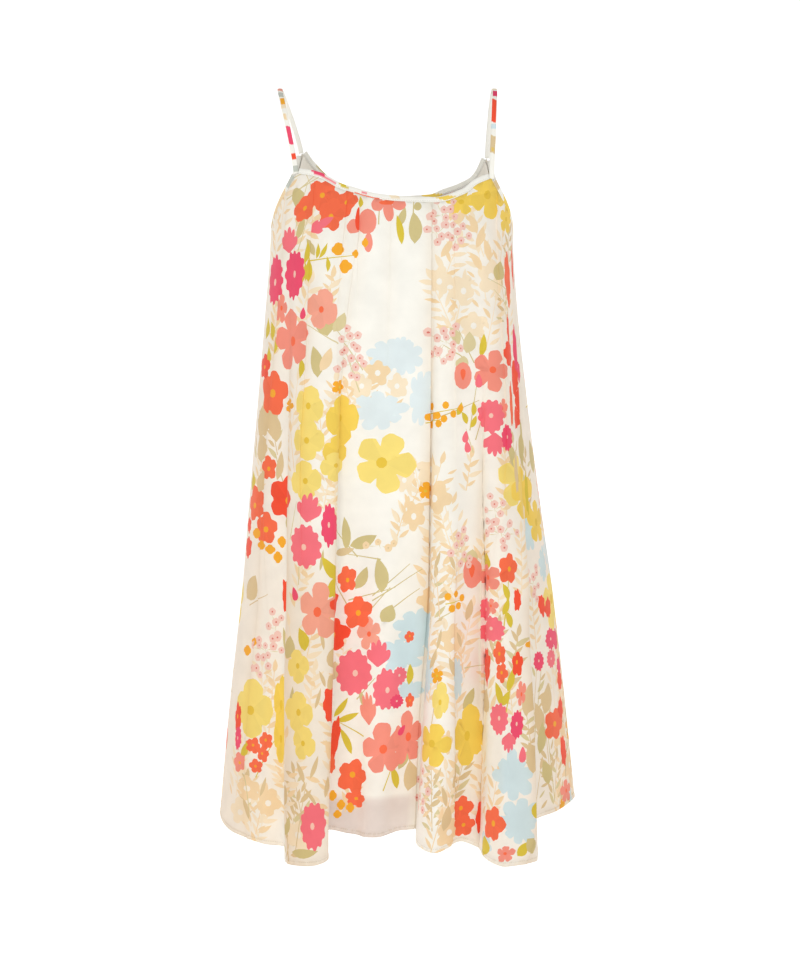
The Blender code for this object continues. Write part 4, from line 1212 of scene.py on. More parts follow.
def panel_outline(side, count=260):
    """The panel's edge on the flat cloth: the hem, the right side, the neck and the left side."""
    across = np.linspace(-1, 1, count)
    hem = np.column_stack([to_flat(across, hem_of(across, side), side), hem_of(across, side)])
    top = np.column_stack([to_flat(across, top_of(across, side), side), top_of(across, side)])
    sides = []
    for end, low, high in ((1.0, hem[-1, 1], top[-1, 1]), (-1.0, top[0, 1], hem[0, 1])):
        heights = np.linspace(low, high, SIDE_POINTS + 2)[1:-1]
        sides.append(np.column_stack([to_flat(np.full(SIDE_POINTS, end), heights, side), heights]))
    return np.concatenate([hem, sides[0], top[::-1], sides[1]])


def crease_rows(side):
    """Rows of points close beside each crease, so that its sharp side is really sharp."""
    heights = np.arange(-0.895, -0.10, 0.009)
    rows = []
    for _, hand, _, lines, ridges in CREASES[side]:
        line, ridge = crease_line(lines, ridges, heights)
        for step in CREASE_POINTS:
            rows.append(np.column_stack([line + hand * step, heights])[ridge > FAINTEST])
    return rows


def hem_rows(side):
    """Rows of points along the upper edge of the narrow fold at the hem."""
    across = np.linspace(-0.998, 0.998, 300)
    rows = []
    for up in (HEM_FOLD, HEM_FOLD + HEM_STEP):
        height = hem_of(across, side) + up
        rows.append(np.column_stack([to_flat(across, height, side), height]))
    return rows


def grid_points(outline):
    """Points of a fine grid inside the panel's box, finer near the top for the gathers."""
    low, high = outline.min(axis=0), outline.max(axis=0)
    coarse = np.meshgrid(np.arange(low[0], high[0], GRID), np.arange(low[1], FINE_Z, GRID))
    fine = np.meshgrid(np.arange(low[0], high[0], GRID / 3), np.arange(FINE_Z, high[1], GRID))
    return np.concatenate([np.column_stack([g.ravel() for g in pair]) for pair in (coarse, fine)])


def cut_print(side):
    """Triangles of a panel on flat cloth, each with the number of the motif on top of it."""
    outline = panel_outline(side)
    loops = [outline] + [np.asarray(loop) for loop, _ in PRINT[side]]
    points = [Vector(p) for loop in loops for p in loop.tolist()]
    faces, start = [], 0
    for loop in loops:
        faces.append(list(range(start, start + len(loop))))
        start += len(loop)
    edges = []
    for row in crease_rows(side) + hem_rows(side):
        edges += [(len(points) + k, len(points) + k + 1) for k in range(len(row) - 1)]
        points += [Vector(p) for p in row.tolist()]
    points += [Vector(p) for p in grid_points(outline).tolist()]
    found = delaunay_2d_cdt(points, edges, faces, 1, 1e-6, True)
    kept = [(face, max(ids)) for face, ids in zip(found[2], found[5]) if 0 in ids]
    flat = np.array([tuple(p) for p in found[0]])
    return flat, np.array([f for f, _ in kept]), np.array([top for _, top in kept])


for side in FOLDS:
    print(side, "outline has", len(panel_outline(side)), "points")

# %% [markdown]
# ## Front and back
#
# The real front and back are single layers of cloth, gathered at the neck and sewn together at the
# sides. So each panel is one layer of the flat triangles, hung on the surface. A narrow rim along its
# edge gives the cloth its thickness, and at the hem it is folded up inside. Helpers come first.

# %% Meshes and their edges
def corner_indices(mesh):
    """The point at each corner of each triangle."""
    found = np.empty(len(mesh.loops), np.int32)
    mesh.loops.foreach_get("vertex_index", found)
    return found


def add_mesh(name, points, faces, flat=None):
    """A smooth mesh object, with its flat coordinates as the map that shaders use."""
    mesh = bpy.data.meshes.new(name)
    mesh.from_pydata(np.asarray(points).tolist(), [], np.asarray(faces).tolist())
    mesh.shade_smooth()
    if flat is not None:
        chart = mesh.uv_layers.new(name="OFBake")
        chart.data.foreach_set("uv", np.asarray(flat)[corner_indices(mesh)].ravel())
    obj = bpy.data.objects.new(name, mesh)
    bpy.context.scene.collection.objects.link(obj)
    return obj


def edge_of(faces, count):
    """The edges that only one triangle has, each in that triangle's direction."""
    ends = np.concatenate([faces[:, [0, 1]], faces[:, [1, 2]], faces[:, [2, 0]]])
    return ends[~np.isin(ends[:, 0] * count + ends[:, 1], ends[:, 1] * count + ends[:, 0])]


print("the cutter's flat coordinates are kept as the map OFBake")

# %% [markdown]
# Hanging a panel moves each flat point to the surface, then out along the normal by the small folds,
# and sideways where a crease leans over.

# %% Hang the panels
HEM_BULGE = 0.00035  # how far the doubled hem stands out
TURNED_IN = 1.2  # the fold of the hem lies inside the cloth by this share of its thickness


def hang_panel(side):
    """The panel in space: one layer of cloth, with the edge's thickness and the hem turned up inside."""
    flat, faces, top = cut_print(side)
    used, index = np.unique(faces, return_inverse=True)
    flat, faces = flat[used], index.reshape(faces.shape)
    across = np.clip(from_flat(flat[:, 0], flat[:, 1], side), -1, 1)
    height = flat[:, 1]
    face = hang(across, height, side)
    normal = outward(hang, across, height, side)
    step = 2e-4
    sideways = unit(hang(across + step, height, side) - hang(across - step, height, side))
    raised, leaning = ripple(across, height, side)
    above_fold = HEM_FOLD + HEM_STEP - height + hem_of(across, side)
    doubled = HEM_BULGE * np.clip(above_fold / HEM_STEP, 0, 1)
    outer = face + normal * (raised + doubled)[:, None] + sideways * leaning[:, None]
    a, b, c = (outer[faces[:, k]] for k in range(3))
    facing = np.einsum("ij,ij->i", np.cross(b - a, c - a), normal[faces[:, 0]])
    if facing.sum() < 0:
        faces = faces[:, ::-1]
    rim = edge_of(faces, len(outer))
    edge = np.unique(rim)
    thickness = normal[edge] * CLOTH
    inside = outer[edge] - thickness - normal[edge] * doubled[edge, None]
    above = hang(across[edge], height[edge] + HEM_FOLD, side) + normal[edge] * raised[edge, None]
    above += sideways[edge] * leaning[edge, None] - thickness * TURNED_IN
    points = np.concatenate([outer, inside, above])
    flat_inside, flat_above = flat[edge] - (0, CLOTH), flat[edge] - (0, HEM_FOLD)
    near = np.searchsorted(edge, rim)
    a, b = rim.T
    p, q = near.T + len(outer)
    turned = [np.column_stack([b, a, p]), np.column_stack([b, p, q])]
    at_hem = (height[rim] - hem_of(across[rim].ravel(), side).reshape(rim.shape) < 1e-4).all(axis=1)
    p, q = p[at_hem], q[at_hem]
    above_p, above_q = p + len(edge), q + len(edge)
    turned += [np.column_stack([q, p, above_p]), np.column_stack([q, above_p, above_q])]
    every = np.concatenate([faces] + turned)
    used, index = np.unique(every, return_inverse=True)
    flat = np.concatenate([flat, flat_inside, flat_above])[used]
    obj = add_mesh(f"{side}_cloth", points[used], index.reshape(every.shape), flat)
    return obj, flat, top


cloths = {}
for side in FOLDS:
    cloths[side] = hang_panel(side)
    print(side, "has", len(cloths[side][0].data.polygons), "triangles")

# %% [markdown]
# ## Dyes and painted shade
#
# The colour of each motif goes onto the corners of its own triangles, so its edge stays crisp. Painted shade
# goes over the dyes as well: beside the creases, in the fold at the left, towards the sides and low down,
# and in the recess below the lining. The real cloth is a little sheer, so part of that darker, warmer tone
# is its own look where nothing lies close behind it and where layers lie on each other, and part is shade
# that the light would give. A see-through shader could show that, but it would be slow and grainy on so many
# folds, so these tones are painted over the dyes.

# %% Dye and stitch values on a mesh
def paint(obj, colours):
    """Stores one colour for each corner of the mesh."""
    layer = obj.data.color_attributes.new("Dye", "FLOAT_COLOR", "CORNER")
    layer.data.foreach_set("color", np.column_stack([colours, np.ones(len(colours))]).ravel())


def mark_stitches(obj, run, apart):
    """Keeps how far each point is along its row of stitches, and how far away from it."""
    layer = obj.data.attributes.new("Stitch", "FLOAT_VECTOR", "POINT")
    apart = np.clip(apart, -0.02, 0.02)
    layer.data.foreach_set("vector", np.column_stack([run, apart, np.zeros(len(run))]).ravel())


print("each mesh gets the attributes Dye and Stitch")

# %% [markdown]
# Three painted shades are worked out, each partly the sheer cloth's own look over what lies behind it. One
# is for the cloth beside a crease. One is for the fold at the left, which lies on more cloth of its own. One
# is for the sides and low down, where the cloth hangs away from the lining.

# %% Painted shade of the creases, the left fold and the sides
# painted shade beside each crease, on its sharp and its soft side
CREASE_REACH = (0.008, 0.006)  # how far the tone reaches on the sharp side and on the soft side
CREASE_SHADE_STRENGTH = (1.0, 0.75)
FULL_RIDGE = 0.0028  # a crease that stands out this far has the full tone
FADE = 0.15


def fold_shade(flat, side):
    """From 0 to 1, the painted shade beside a crease, partly for the layers under it."""
    along, height = flat.T
    found = np.zeros(len(flat))
    for _, hand, _, lines, ridges in CREASES[side]:
        line, ridge = crease_line(lines, ridges, height)
        away = (along - line) * hand
        reach = np.where(away > 0, *CREASE_REACH)
        strength = np.where(away > 0, *CREASE_SHADE_STRENGTH)
        tone = strength * np.exp(-np.abs(away) / reach) * np.clip(ridge / FULL_RIDGE, 0, 1)
        found = np.maximum(found, tone)
    return found


def deeper_than(start, height):
    """0 down to a height, then up to 1 a little below it."""
    return np.clip((start - height) / FADE, 0, 1)


def shade_of_left_fold(flat):
    """From 0 to 1, the painted shade in the front's left fold, which also lies on more cloth, widest near
    the hem.
    """
    along, height = flat.T
    creases = {row[0]: row[3:] for row in CREASES["front"]}
    edge, inner = (crease_line(*creases[name], height)[0] for name in ("left edge", "recess edge"))
    reach = 0.016 + 0.070 * deeper_than(-0.50, height)
    strength = deeper_than(-0.22, height) * (0.75 + 0.25 * deeper_than(-0.45, height))
    inside = (along > edge - 0.002) & (along < inner + 0.003)
    return strength * inside * np.exp(-np.abs(along - edge) / reach)


def shade_towards_sides(x, height, side):
    """From 0 to 1, the painted shade towards the sides and low down, where the cloth also hangs away from
    the lining.
    """
    half_width, middle = read(OVALS, height)[:2]
    aside = np.clip((np.abs(x - middle) / half_width - 0.30) / 0.75, 0, 1) ** 1.3
    deeper = np.clip((NECK_Z[side] - height) / 0.7, 0, 1)
    return aside * (0.55 + 0.45 * deeper) + 0.25 * deeper * (1 - aside)


sample = shade_towards_sides(np.array([0.0, 0.2]), np.array([-0.8, -0.8]), "front")
print("tone in the middle and at the side, near the hem:", np.round(sample, 2))

# %% [markdown]
# Bare ground takes these painted shades in full and a dyed motif takes less of them. The hem's fold has its
# own tone, since it is two layers, and the bare cloth deep in the recess below the lining has a painted
# shade of its own.

# %% Paint the panels
GROUND = linear(PALETTE["ivory"])
# painted shade of the bare cloth deep in the recess, below the lining's hem
SHADE_BELOW_LINING = linear((232, 222, 216))
SHADED_RECESS = {"front": (-0.104, 0.056), "back": (-0.040, 0.110)}  # deep folds with nothing behind them, where shade is painted below the lining
SIDE_SHADE_LOSS = np.array([0.05, 0.19, 0.29])  # painted shade: what the colour loses towards the sides and low down, where little lies behind the sheer cloth
FOLD_SHADE_LOSS = np.array([0.10, 0.20, 0.30])  # painted shade: what it loses beside a crease and in the left fold, where a fold lies on another
DEEPEST = 1.15  # most of that painted shade, where two of them meet
ON_MOTIF = {"side_shade": 0.55, "fold_shade": 0.7}  # share of each painted shade that a dyed motif takes
HEM_TONE = np.array([0.95, 0.92, 0.87])  # the hem's fold is two layers of cloth
HEM_STITCH = 0.0042  # height of the row of stitches over the hem


def paint_panel(side):
    """Dyes a panel, paints shade over it and marks the stitches of its hem."""
    obj, flat, top = cloths[side]
    corners = corner_indices(obj.data)
    dyes = np.array([GROUND] + [mixed(dye) for _, dye in PRINT[side]])
    turned_in = len(corners) // 3 - len(top)
    colours = np.repeat(np.concatenate([dyes[top], np.tile(GROUND, (turned_in, 1))]), 3, axis=0)
    ground = np.isclose(colours, GROUND).all(axis=1)
    along, height = flat[corners].T
    # painted shade on the bare cloth in the recess, below the lining's hem
    below = np.clip((LINING_HEM_Z + 0.006 - height) / 0.008, 0, 1)
    start, end = SHADED_RECESS[side]
    below *= np.clip((along - start) / 0.006, 0, 1) * np.clip((end - along) / 0.012, 0, 1)
    below = below[:, None]
    colours = np.where(ground[:, None], colours * (1 - below) + SHADE_BELOW_LINING * below, colours)
    place = np.empty(len(obj.data.vertices) * 3, np.float32)
    obj.data.vertices.foreach_get("co", place)
    # painted shade towards the sides and low down
    side_shade = shade_towards_sides(place[::3][corners], height, side)
    side_shade *= np.where(ground, 1.0, ON_MOTIF["side_shade"])
    # painted shade beside the creases and in the front's left fold
    shade = fold_shade(flat, side)
    if side == "front":
        shade = np.minimum(shade + shade_of_left_fold(flat), DEEPEST)
    shade = shade[corners] * np.where(ground, 1.0, ON_MOTIF["fold_shade"])
    hem = flat[:, 1] - hem_of(from_flat(flat[:, 0], flat[:, 1], side), side)
    folded = (hem[corners] < HEM_FOLD)[:, None]
    colours *= np.where(folded & ground[:, None], HEM_TONE, 1)
    paint(obj, colours * (1 - side_shade[:, None] * SIDE_SHADE_LOSS) * (1 - shade[:, None] * FOLD_SHADE_LOSS))
    mark_stitches(obj, flat[:, 0], hem - HEM_STITCH)


for side in FOLDS:
    paint_panel(side)
    print(f"the {side} has {len(PRINT[side])} printed shapes")

# %% [markdown]
# ## Cloth material
#
# The cloth is a thin crepe weave: matt, with a faint sheen at grazing angles. Waves across and along
# the flat coordinates make the threads, and soft noise makes the dye a little uneven. An image of
# cloth could do this too, but nodes stay sharp at any distance. Three helpers come first: one adds a
# node, one does sums, and one turns the stitch values into dashes.

# %% Helpers for nodes, and stitches
STITCH_LENGTH = 0.0026
STITCH_WIDTH = 0.00035
STITCH_SHARE = 0.66  # of each step that the thread shows


def add(tree, kind, **sockets):
    """A new shader node with some of its inputs set."""
    node = tree.nodes.new(kind)
    for name, value in sockets.items():
        node.inputs[name.replace("_", " ")].default_value = value
    return node


def reckon(tree, operation, *values):
    """A maths node. Each value is a number or another node's output."""
    node = tree.nodes.new("ShaderNodeMath")
    node.operation = operation
    for socket, value in zip(node.inputs, values):
        if isinstance(value, (int, float)):
            socket.default_value = value
        else:
            tree.links.new(value, socket)
    return node.outputs["Value"]


def stitches(tree):
    """1 on a stitch and 0 elsewhere, from the distances that the mesh keeps."""
    kept = tree.nodes.new("ShaderNodeAttribute")
    kept.attribute_name = "Stitch"
    split = tree.nodes.new("ShaderNodeSeparateXYZ")
    tree.links.new(kept.outputs["Vector"], split.inputs["Vector"])
    step = reckon(tree, "FRACT", reckon(tree, "DIVIDE", split.outputs["X"], STITCH_LENGTH))
    dash = reckon(tree, "LESS_THAN", step, STITCH_SHARE)
    near = reckon(tree, "LESS_THAN", reckon(tree, "ABSOLUTE", split.outputs["Y"]), STITCH_WIDTH)
    sewn = reckon(tree, "GREATER_THAN", kept.outputs["Alpha"], 0.5)
    return reckon(tree, "MULTIPLY", reckon(tree, "MULTIPLY", dash, near), sewn)


print("a stitch is", STITCH_LENGTH * 1000, "mm long")

# %% [markdown]
# The material itself puts them together. The weave and the crepe's grain only press the surface in
# and out by a tenth of a millimetre, and each stitch is pressed in and a little darker.

# %% Cloth material
SHEEN = 0.12
GRAIN = 900.0  # scale of the crepe's fine grain
CLOUDS = 38.0  # scale of the dye's unevenness
THREAD_DIP, THREAD_TONE = -4.0, -0.16  # how deep and how dark a stitch is
PRESSED = 0.00012  # depth of the weave, in m
WAVE = 6.283  # radians of one wave, so that the weave is given in threads


def cloth_material(name, dye=None, roughness=0.82, threads=2600.0, uneven=0.05):
    """Matt woven cloth. Its colour is one dye, or the mesh's own dyes."""
    material = bpy.data.materials.new(name)
    material.use_nodes = True
    tree = material.node_tree
    finish = tree.nodes["Principled BSDF"]
    link = tree.links.new
    finish.inputs["Roughness"].default_value = roughness
    finish.inputs["Sheen Weight"].default_value = SHEEN
    finish.inputs["Sheen Roughness"].default_value = 0.5
    finish.inputs["Specular IOR Level"].default_value = 0.25
    coordinates = tree.nodes.new("ShaderNodeTexCoord")
    chart = tree.nodes.new("ShaderNodeUVMap")
    chart.uv_map = "OFBake"
    cloud = add(tree, "ShaderNodeTexNoise", Scale=CLOUDS, Detail=3.0)
    link(coordinates.outputs["Object"], cloud.inputs["Vector"])
    limits = {"From_Min": 0.3, "From_Max": 0.7, "To_Min": 1 - uneven, "To_Max": 1 + uneven * 0.4}
    tone = add(tree, "ShaderNodeMapRange", **limits)
    link(cloud.outputs["Fac"], tone.inputs["Value"])
    tint = tree.nodes.new("ShaderNodeVectorMath")
    tint.operation = "MULTIPLY"
    if dye is None:
        colour = tree.nodes.new("ShaderNodeVertexColor")
        colour.layer_name = "Dye"
        link(colour.outputs["Color"], tint.inputs[0])
    else:
        tint.inputs[0].default_value = tuple(dye)
    link(tone.outputs["Result"], tint.inputs[1])
    heights = []
    for direction in ("X", "Y"):
        wave = add(tree, "ShaderNodeTexWave", Scale=threads / WAVE, Distortion=1.5, Detail=1.0)
        wave.bands_direction = direction
        link(chart.outputs["UV"], wave.inputs["Vector"])
        heights.append(wave.outputs["Fac"])
    weave = reckon(tree, "MULTIPLY", *heights)
    crepe = add(tree, "ShaderNodeTexNoise", Scale=GRAIN, Detail=2.0)
    link(chart.outputs["UV"], crepe.inputs["Vector"])
    thread = stitches(tree)
    both = reckon(tree, "ADD", weave, crepe.outputs["Fac"])
    pressed = reckon(tree, "MULTIPLY_ADD", thread, THREAD_DIP, both)
    bump = add(tree, "ShaderNodeBump", Strength=0.35, Distance=PRESSED)
    link(pressed, bump.inputs["Height"])
    darker = reckon(tree, "MULTIPLY_ADD", thread, THREAD_TONE, 1.0)
    sewn = tree.nodes.new("ShaderNodeVectorMath")
    sewn.operation = "MULTIPLY"
    link(tint.outputs["Vector"], sewn.inputs[0])
    link(darker, sewn.inputs[1])
    link(sewn.outputs["Vector"], finish.inputs["Base Color"])
    link(bump.outputs["Normal"], finish.inputs["Normal"])
    return material


printed = cloth_material("printed crepe")
plain = cloth_material("lining cloth", linear((253, 249, 239)), roughness=0.7, threads=3400.0, uneven=0.02)
for side in FOLDS:
    obj = cloths[side][0]
    obj.data.materials.append(printed)
    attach(obj, "root")
    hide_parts(f"{side}_panel")
print("materials:", printed.name, "and", plain.name)

# %% [markdown]
# ## Linings
#
# Each lining is plain, a little shorter than the printed cloth, and much less full. It leaves the
# shell at the neck seam and hangs inside it. Its hem is turned up once and stitched. It has no
# print, so a plain grid does here. Both of its faces show, one at the neck and one from below, so it
# is a thin closed wall.

# %% Surface of the lining
LINING_EASE = [
    # z, side, front, back
    (-0.840, 0.0260, 0.0600, 0.0500),
    (-0.700, 0.0250, 0.0440, 0.0360),
    (-0.490, 0.0150, 0.0230, 0.0140),
    (-0.250, 0.0060, 0.0110, 0.0070),
    (-0.140, 0.0030, 0.0040, 0.0030),
    (-0.040, 0.0020, 0.0020, 0.0020),
]
LINING_SEAM = 0.0018  # gap to the shell at the neck
LINING_FALL = 0.040  # height over which the lining leaves the shell
LINING_DROP = 0.0010  # how far its upper edge lies below the shell's
LINING_WAVES = 9
WAVE_DEPTH = 0.0035
LINING_CLOTH = 0.0007  # thickness
LINING_HEM_CLOTH = 0.0005  # what the hem's turning adds
LINING_TURNED = 0.010  # height of that turning
LINING_STITCH = 0.009  # height of its stitches over the hem


def lining_hang(across, height, side):
    """Points of the lining's outer face. across is the angle over 90 degrees."""
    top = top_at(across * 90, side) - LINING_DROP
    half_width, centre, front, back = read(OVALS, height)
    leaving = 1 - np.exp(-(top - height) / LINING_FALL)
    beside, before, behind = (LINING_SEAM + amount * leaving for amount in read(LINING_EASE, height))
    depth = front - before if side == "front" else back - behind
    turn = np.radians(across * 90)
    fall = np.clip((top - height) / 0.7, 0, 1) ** 1.5
    wave = WAVE_DEPTH * fall * np.sin(across * math.pi * LINING_WAVES / 2 + 2.1 * height * 3)
    x = centre + (half_width - beside) * np.sign(turn) * np.abs(np.sin(turn)) ** ROUNDNESS
    y = FACING[side] * ((depth + wave) * np.abs(np.cos(turn)) ** ROUNDNESS)
    return np.column_stack([x, y, height])


low_middle = lining_hang(np.array([0.0]), np.array([LINING_HEM_Z]), "front")
print("middle of the front lining's hem:", np.round(low_middle[0], 3))

# %% [markdown]
# The wall is two layers of the same grid, joined along the edge.

# %% Hang the linings
def shell(name, outer, inner, faces, flat):
    """A closed thin wall from two layers with the same triangles."""
    count = len(outer)
    a, b = edge_of(faces, count).T
    sides = [np.column_stack([b, a, a + count]), np.column_stack([b, a + count, b + count])]
    every = np.concatenate([faces, faces[:, ::-1] + count] + sides)
    return add_mesh(name, np.concatenate([outer, inner]), every, np.concatenate([flat, flat]))


def triangles_of_grid(rows, columns):
    r, c = np.meshgrid(np.arange(rows - 1), np.arange(columns - 1), indexing="ij")
    a = (r * columns + c).ravel()
    quads = np.column_stack([a, a + 1, a + 1 + columns, a + columns])
    return np.concatenate([quads[:, [0, 1, 2]], quads[:, [0, 2, 3]]])


def lining(side, columns=121, rows=90):
    across = np.linspace(-1, 1, columns)
    top = top_at(across * 90, side) - LINING_DROP
    share = np.linspace(0, 1, rows) ** 1.1
    height = top[None, :] + (LINING_HEM_Z - top[None, :]) * share[:, None]
    a = np.tile(across, (rows, 1)).ravel()
    outer = lining_hang(a, height.ravel(), side)
    grid = outer.reshape(rows, columns, 3)
    right, down = np.gradient(grid, axis=1), np.gradient(grid, axis=0)
    normal = unit(np.cross(right, down)).reshape(-1, 3) * FACING[side]
    turned_up = np.clip((LINING_HEM_Z + LINING_TURNED - height.ravel()) / 0.0012, 0, 1)
    inner = outer - normal * (LINING_CLOTH + LINING_HEM_CLOTH * turned_up)[:, None]
    faces = triangles_of_grid(rows, columns)
    if FACING[side] > 0:
        faces = faces[:, ::-1]
    run = np.linalg.norm(np.diff(grid, axis=1), axis=2).cumsum(axis=1)
    along = np.concatenate([np.zeros((rows, 1)), run], axis=1)
    along -= along[:, columns // 2][:, None]
    flat = np.column_stack([along.ravel(), height.ravel()])
    obj = shell(f"{side}_lining_cloth", outer, inner, faces, flat)
    obj.data.materials.append(plain)
    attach(obj, "root")
    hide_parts(f"{side}_lining")
    apart = height.ravel() - LINING_HEM_Z - LINING_STITCH
    mark_stitches(obj, np.tile(along.ravel(), 2), np.tile(apart, 2))


for side in FOLDS:
    lining(side)

# %% [markdown]
# ## Bindings and straps
#
# The neck and the armholes are bound with narrow folded strips of the same print, and the straps
# are rolled from it. Each is a rounded strip along a line, and a short table says where a printed
# motif crosses it. A curve with a bevel could make it too, but rings of points, made here, also say
# how far round the strip each point lies, and that places the motifs and the stitches.

# %% Strips
SECTION = 16
SQUARED = (0.45, 0.75)  # less than 1 squares the section off, across and through the strip
ROUND_STRIP = 0.018  # flat length once round a strip


def run_of(line):
    return np.concatenate([[0], np.cumsum(np.linalg.norm(np.diff(line, axis=0), axis=1))])


def strip(name, middle, wide, thick, width, thickness):
    """A narrow folded strip along a line, with rounded edges and closed ends."""
    turn = np.linspace(0, 2 * math.pi, SECTION, endpoint=False)
    u = np.sign(np.cos(turn)) * np.abs(np.cos(turn)) ** SQUARED[0] * width / 2
    v = np.sign(np.sin(turn)) * np.abs(np.sin(turn)) ** SQUARED[1] * thickness / 2
    count = len(middle)
    points = middle[:, None] + wide[:, None] * u[None, :, None] + thick[:, None] * v[None, :, None]
    points = points.reshape(-1, 3)
    faces = []
    for i in range(count - 1):
        for k in range(SECTION):
            a, b = i * SECTION + k, i * SECTION + (k + 1) % SECTION
            faces += [(a, b, b + SECTION), (a, b + SECTION, a + SECTION)]
    last = (count - 1) * SECTION
    for k in range(1, SECTION - 1):
        faces += [(0, k + 1, k), (last, last + k, last + k + 1)]
    corner = points[np.array(faces)]
    volume = np.einsum("ij,ij->i", corner[:, 0], np.cross(corner[:, 1], corner[:, 2])).sum()
    if volume < 0:
        faces = [face[::-1] for face in faces]
    run = run_of(middle)
    flat = np.column_stack([np.repeat(run, SECTION), np.tile(turn / (2 * math.pi) * ROUND_STRIP, count)])
    obj = add_mesh(name, points, faces, flat)
    return obj, run, np.tile(u / width, count)


print("strips have", SECTION, "points round their section")

# %% [markdown]
# A binding follows the cloth's upper edge. At each point of it, one direction leads away from the
# cloth and one stands on it, and together they turn the strip with the edge.

# %% Lines for the bindings
BINDING_WIDTH = 0.0065
BINDING_GAP = 0.0002  # between the cloth's edge and the strip
BINDING_THICKNESS = 0.0028
BINDING_PROUD = 0.0006  # how far it stands out from the cloth
BINDING_STOP = 0.0034  # how far from the strap's corner it ends
BINDING_STITCH = -0.30  # row of stitches across a binding, as a share of its width


def edge_frames(across, side, hint):
    """Along the cloth's upper edge: points, directions away from the cloth, and normals."""
    top = top_of(across, side)
    edge = hang(across, top, side)
    normal = outward(hang, across, top - 2e-4, side)
    along = unit(np.gradient(edge, axis=0))
    away = unit(np.cross(along, normal))
    away *= np.sign(away @ np.array(hint))[:, None]
    return edge, away, normal


def binding_lines(edge, away, normal):
    """The middle of a binding strip that sits on an edge."""
    lift = BINDING_GAP + BINDING_WIDTH / 2
    return edge + away * lift + normal * (BINDING_PROUD - BINDING_THICKNESS / 2)


def across_at(angle, side):
    return float(np.interp(angle, angle_of(flat_across, side), flat_across))


def corner_place(side, hand):
    return across_at(OUT[hand] * CORNER_ANGLE[side], side)


def paint_strip(obj, run, cross, patches, ground="ivory", sewn=True):
    """Colours a strip. Each patch is a dye with its start, end, and low and high edge across the strip."""
    place = np.repeat(run, SECTION)
    dye = np.tile(linear(PALETTE[ground]), (len(place), 1))
    for name, start, end, low, high, slant in patches:
        lean = slant * cross
        hit = (place + lean > start) & (place + lean < end) & (cross >= low) & (cross <= high)
        dye[hit] = linear(PALETTE[name])
    paint(obj, dye[corner_indices(obj.data)])
    apart = (cross - BINDING_STITCH) * BINDING_WIDTH if sewn else np.full(len(place), 1.0)
    mark_stitches(obj, place, apart)


print("the front neck's corners lie at", [round(corner_place("front", hand), 3) for hand in OUT])

# %% [markdown]
# The neck binding holds the gathered edge, so it is pinched very slightly here and there. A line of
# stitches runs close to its lower edge.

# %% Neck bindings
NECK_PATCHES = {
    "front": [
        # dye, start and end along the strip, low and high edge (-0.5 to 0.5), slant
        ("pink", 0.022, 0.040, -0.05, 0.5, 0.012),
        ("rose", 0.036, 0.054, -0.30, 0.3, 0.016),
        ("lime", 0.060, 0.070, -0.1, 0.5, 0.01),
        ("rose", 0.086, 0.093, -0.3, 0.1, 0.004),
        ("scarlet", 0.078, 0.108, -0.6, -0.36, 0.0),
        ("cream", 0.120, 0.131, 0.0, 0.5, 0.004),
        ("yellow", 0.176, 0.192, -0.4, 0.4, 0.012),
    ],
    "back": [
        ("peach", 0.090, 0.128, 0.1, 0.5, 0.0),
        ("yellow", 0.172, 0.190, -0.5, 0.5, 0.01),
        ("olive", 0.026, 0.050, 0.1, 0.5, 0.01),
    ],
}
PINCH_EVERY = 5  # rings of points from one pinch to the next
PINCH_OUT, PINCH_UP = 0.00012, 0.00008
PIECES = {}


def neck_binding(side, count=260):
    """Binds the neck of one panel from strap to strap."""
    low, high = corner_place(side, "left"), corner_place(side, "right")
    fine = np.linspace(low, high, 600)
    run = run_of(hang(fine, top_of(fine, side), side))
    at = np.interp(np.linspace(BINDING_STOP, run[-1] - BINDING_STOP, count), run, fine)
    edge, away, normal = edge_frames(at, side, (0, 0, 1))
    middle = binding_lines(edge, away, normal)
    pinches = np.arange(0, count, PINCH_EVERY)
    wobble = np.interp(np.arange(count), pinches, chance.normal(0, 1, len(pinches)))
    middle = middle + normal * (wobble * PINCH_OUT)[:, None] + away * (wobble * PINCH_UP)[:, None]
    obj, run, cross = strip(f"{side}_neck_strip", middle, away, normal, BINDING_WIDTH, BINDING_THICKNESS)
    paint_strip(obj, run, cross, NECK_PATCHES[side])
    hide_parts(f"{side}_neck_binding")
    PIECES[obj.name] = (obj, run[-1])


for side in FOLDS:
    neck_binding(side)
print("neck bindings:", [f"{name} {length:.3f} m" for name, (_, length) in PIECES.items()])

# %% [markdown]
# An armhole binding runs from the front strap's corner down under the arm and up to the back corner.
# The front and the back meet there at an angle, so the strip turns evenly over a short way.

# %% Armhole bindings
ARM_PATCHES = {
    "left": [
        ("grey", 0.000, 0.016, -0.5, 0.5, 0.0),
        ("peach", 0.020, 0.060, -0.5, 0.5, 0.006),
        ("tan", 0.066, 0.078, -0.5, 0.5, 0.004),
        ("peach", 0.100, 0.140, -0.5, 0.5, 0.006),
    ],
    "right": [
        ("tan", 0.000, 0.012, -0.5, 0.5, 0.0),
        ("yellow", 0.024, 0.050, -0.5, 0.5, 0.008),
        ("cream", 0.060, 0.090, -0.5, 0.5, 0.006),
        ("scarlet", 0.108, 0.122, -0.5, 0.5, 0.004),
    ],
}
TURNING = 14  # rings of points to each side of the seam, over which the strip turns


def armhole_line(side, hand, count):
    """Frames down one armhole edge from the strap's corner to the side seam."""
    across = np.linspace(corner_place(side, hand), OUT[hand], 300)
    edge, away, normal = edge_frames(across, side, (OUT[hand], 0, 0.7))
    away[-1], normal[-1] = away[-2], normal[-2]
    run = run_of(edge)
    at = np.linspace(BINDING_STOP, run[-1], count)
    return [np.column_stack([np.interp(at, run, v[:, k]) for k in range(3)]) for v in (edge, away, normal)]


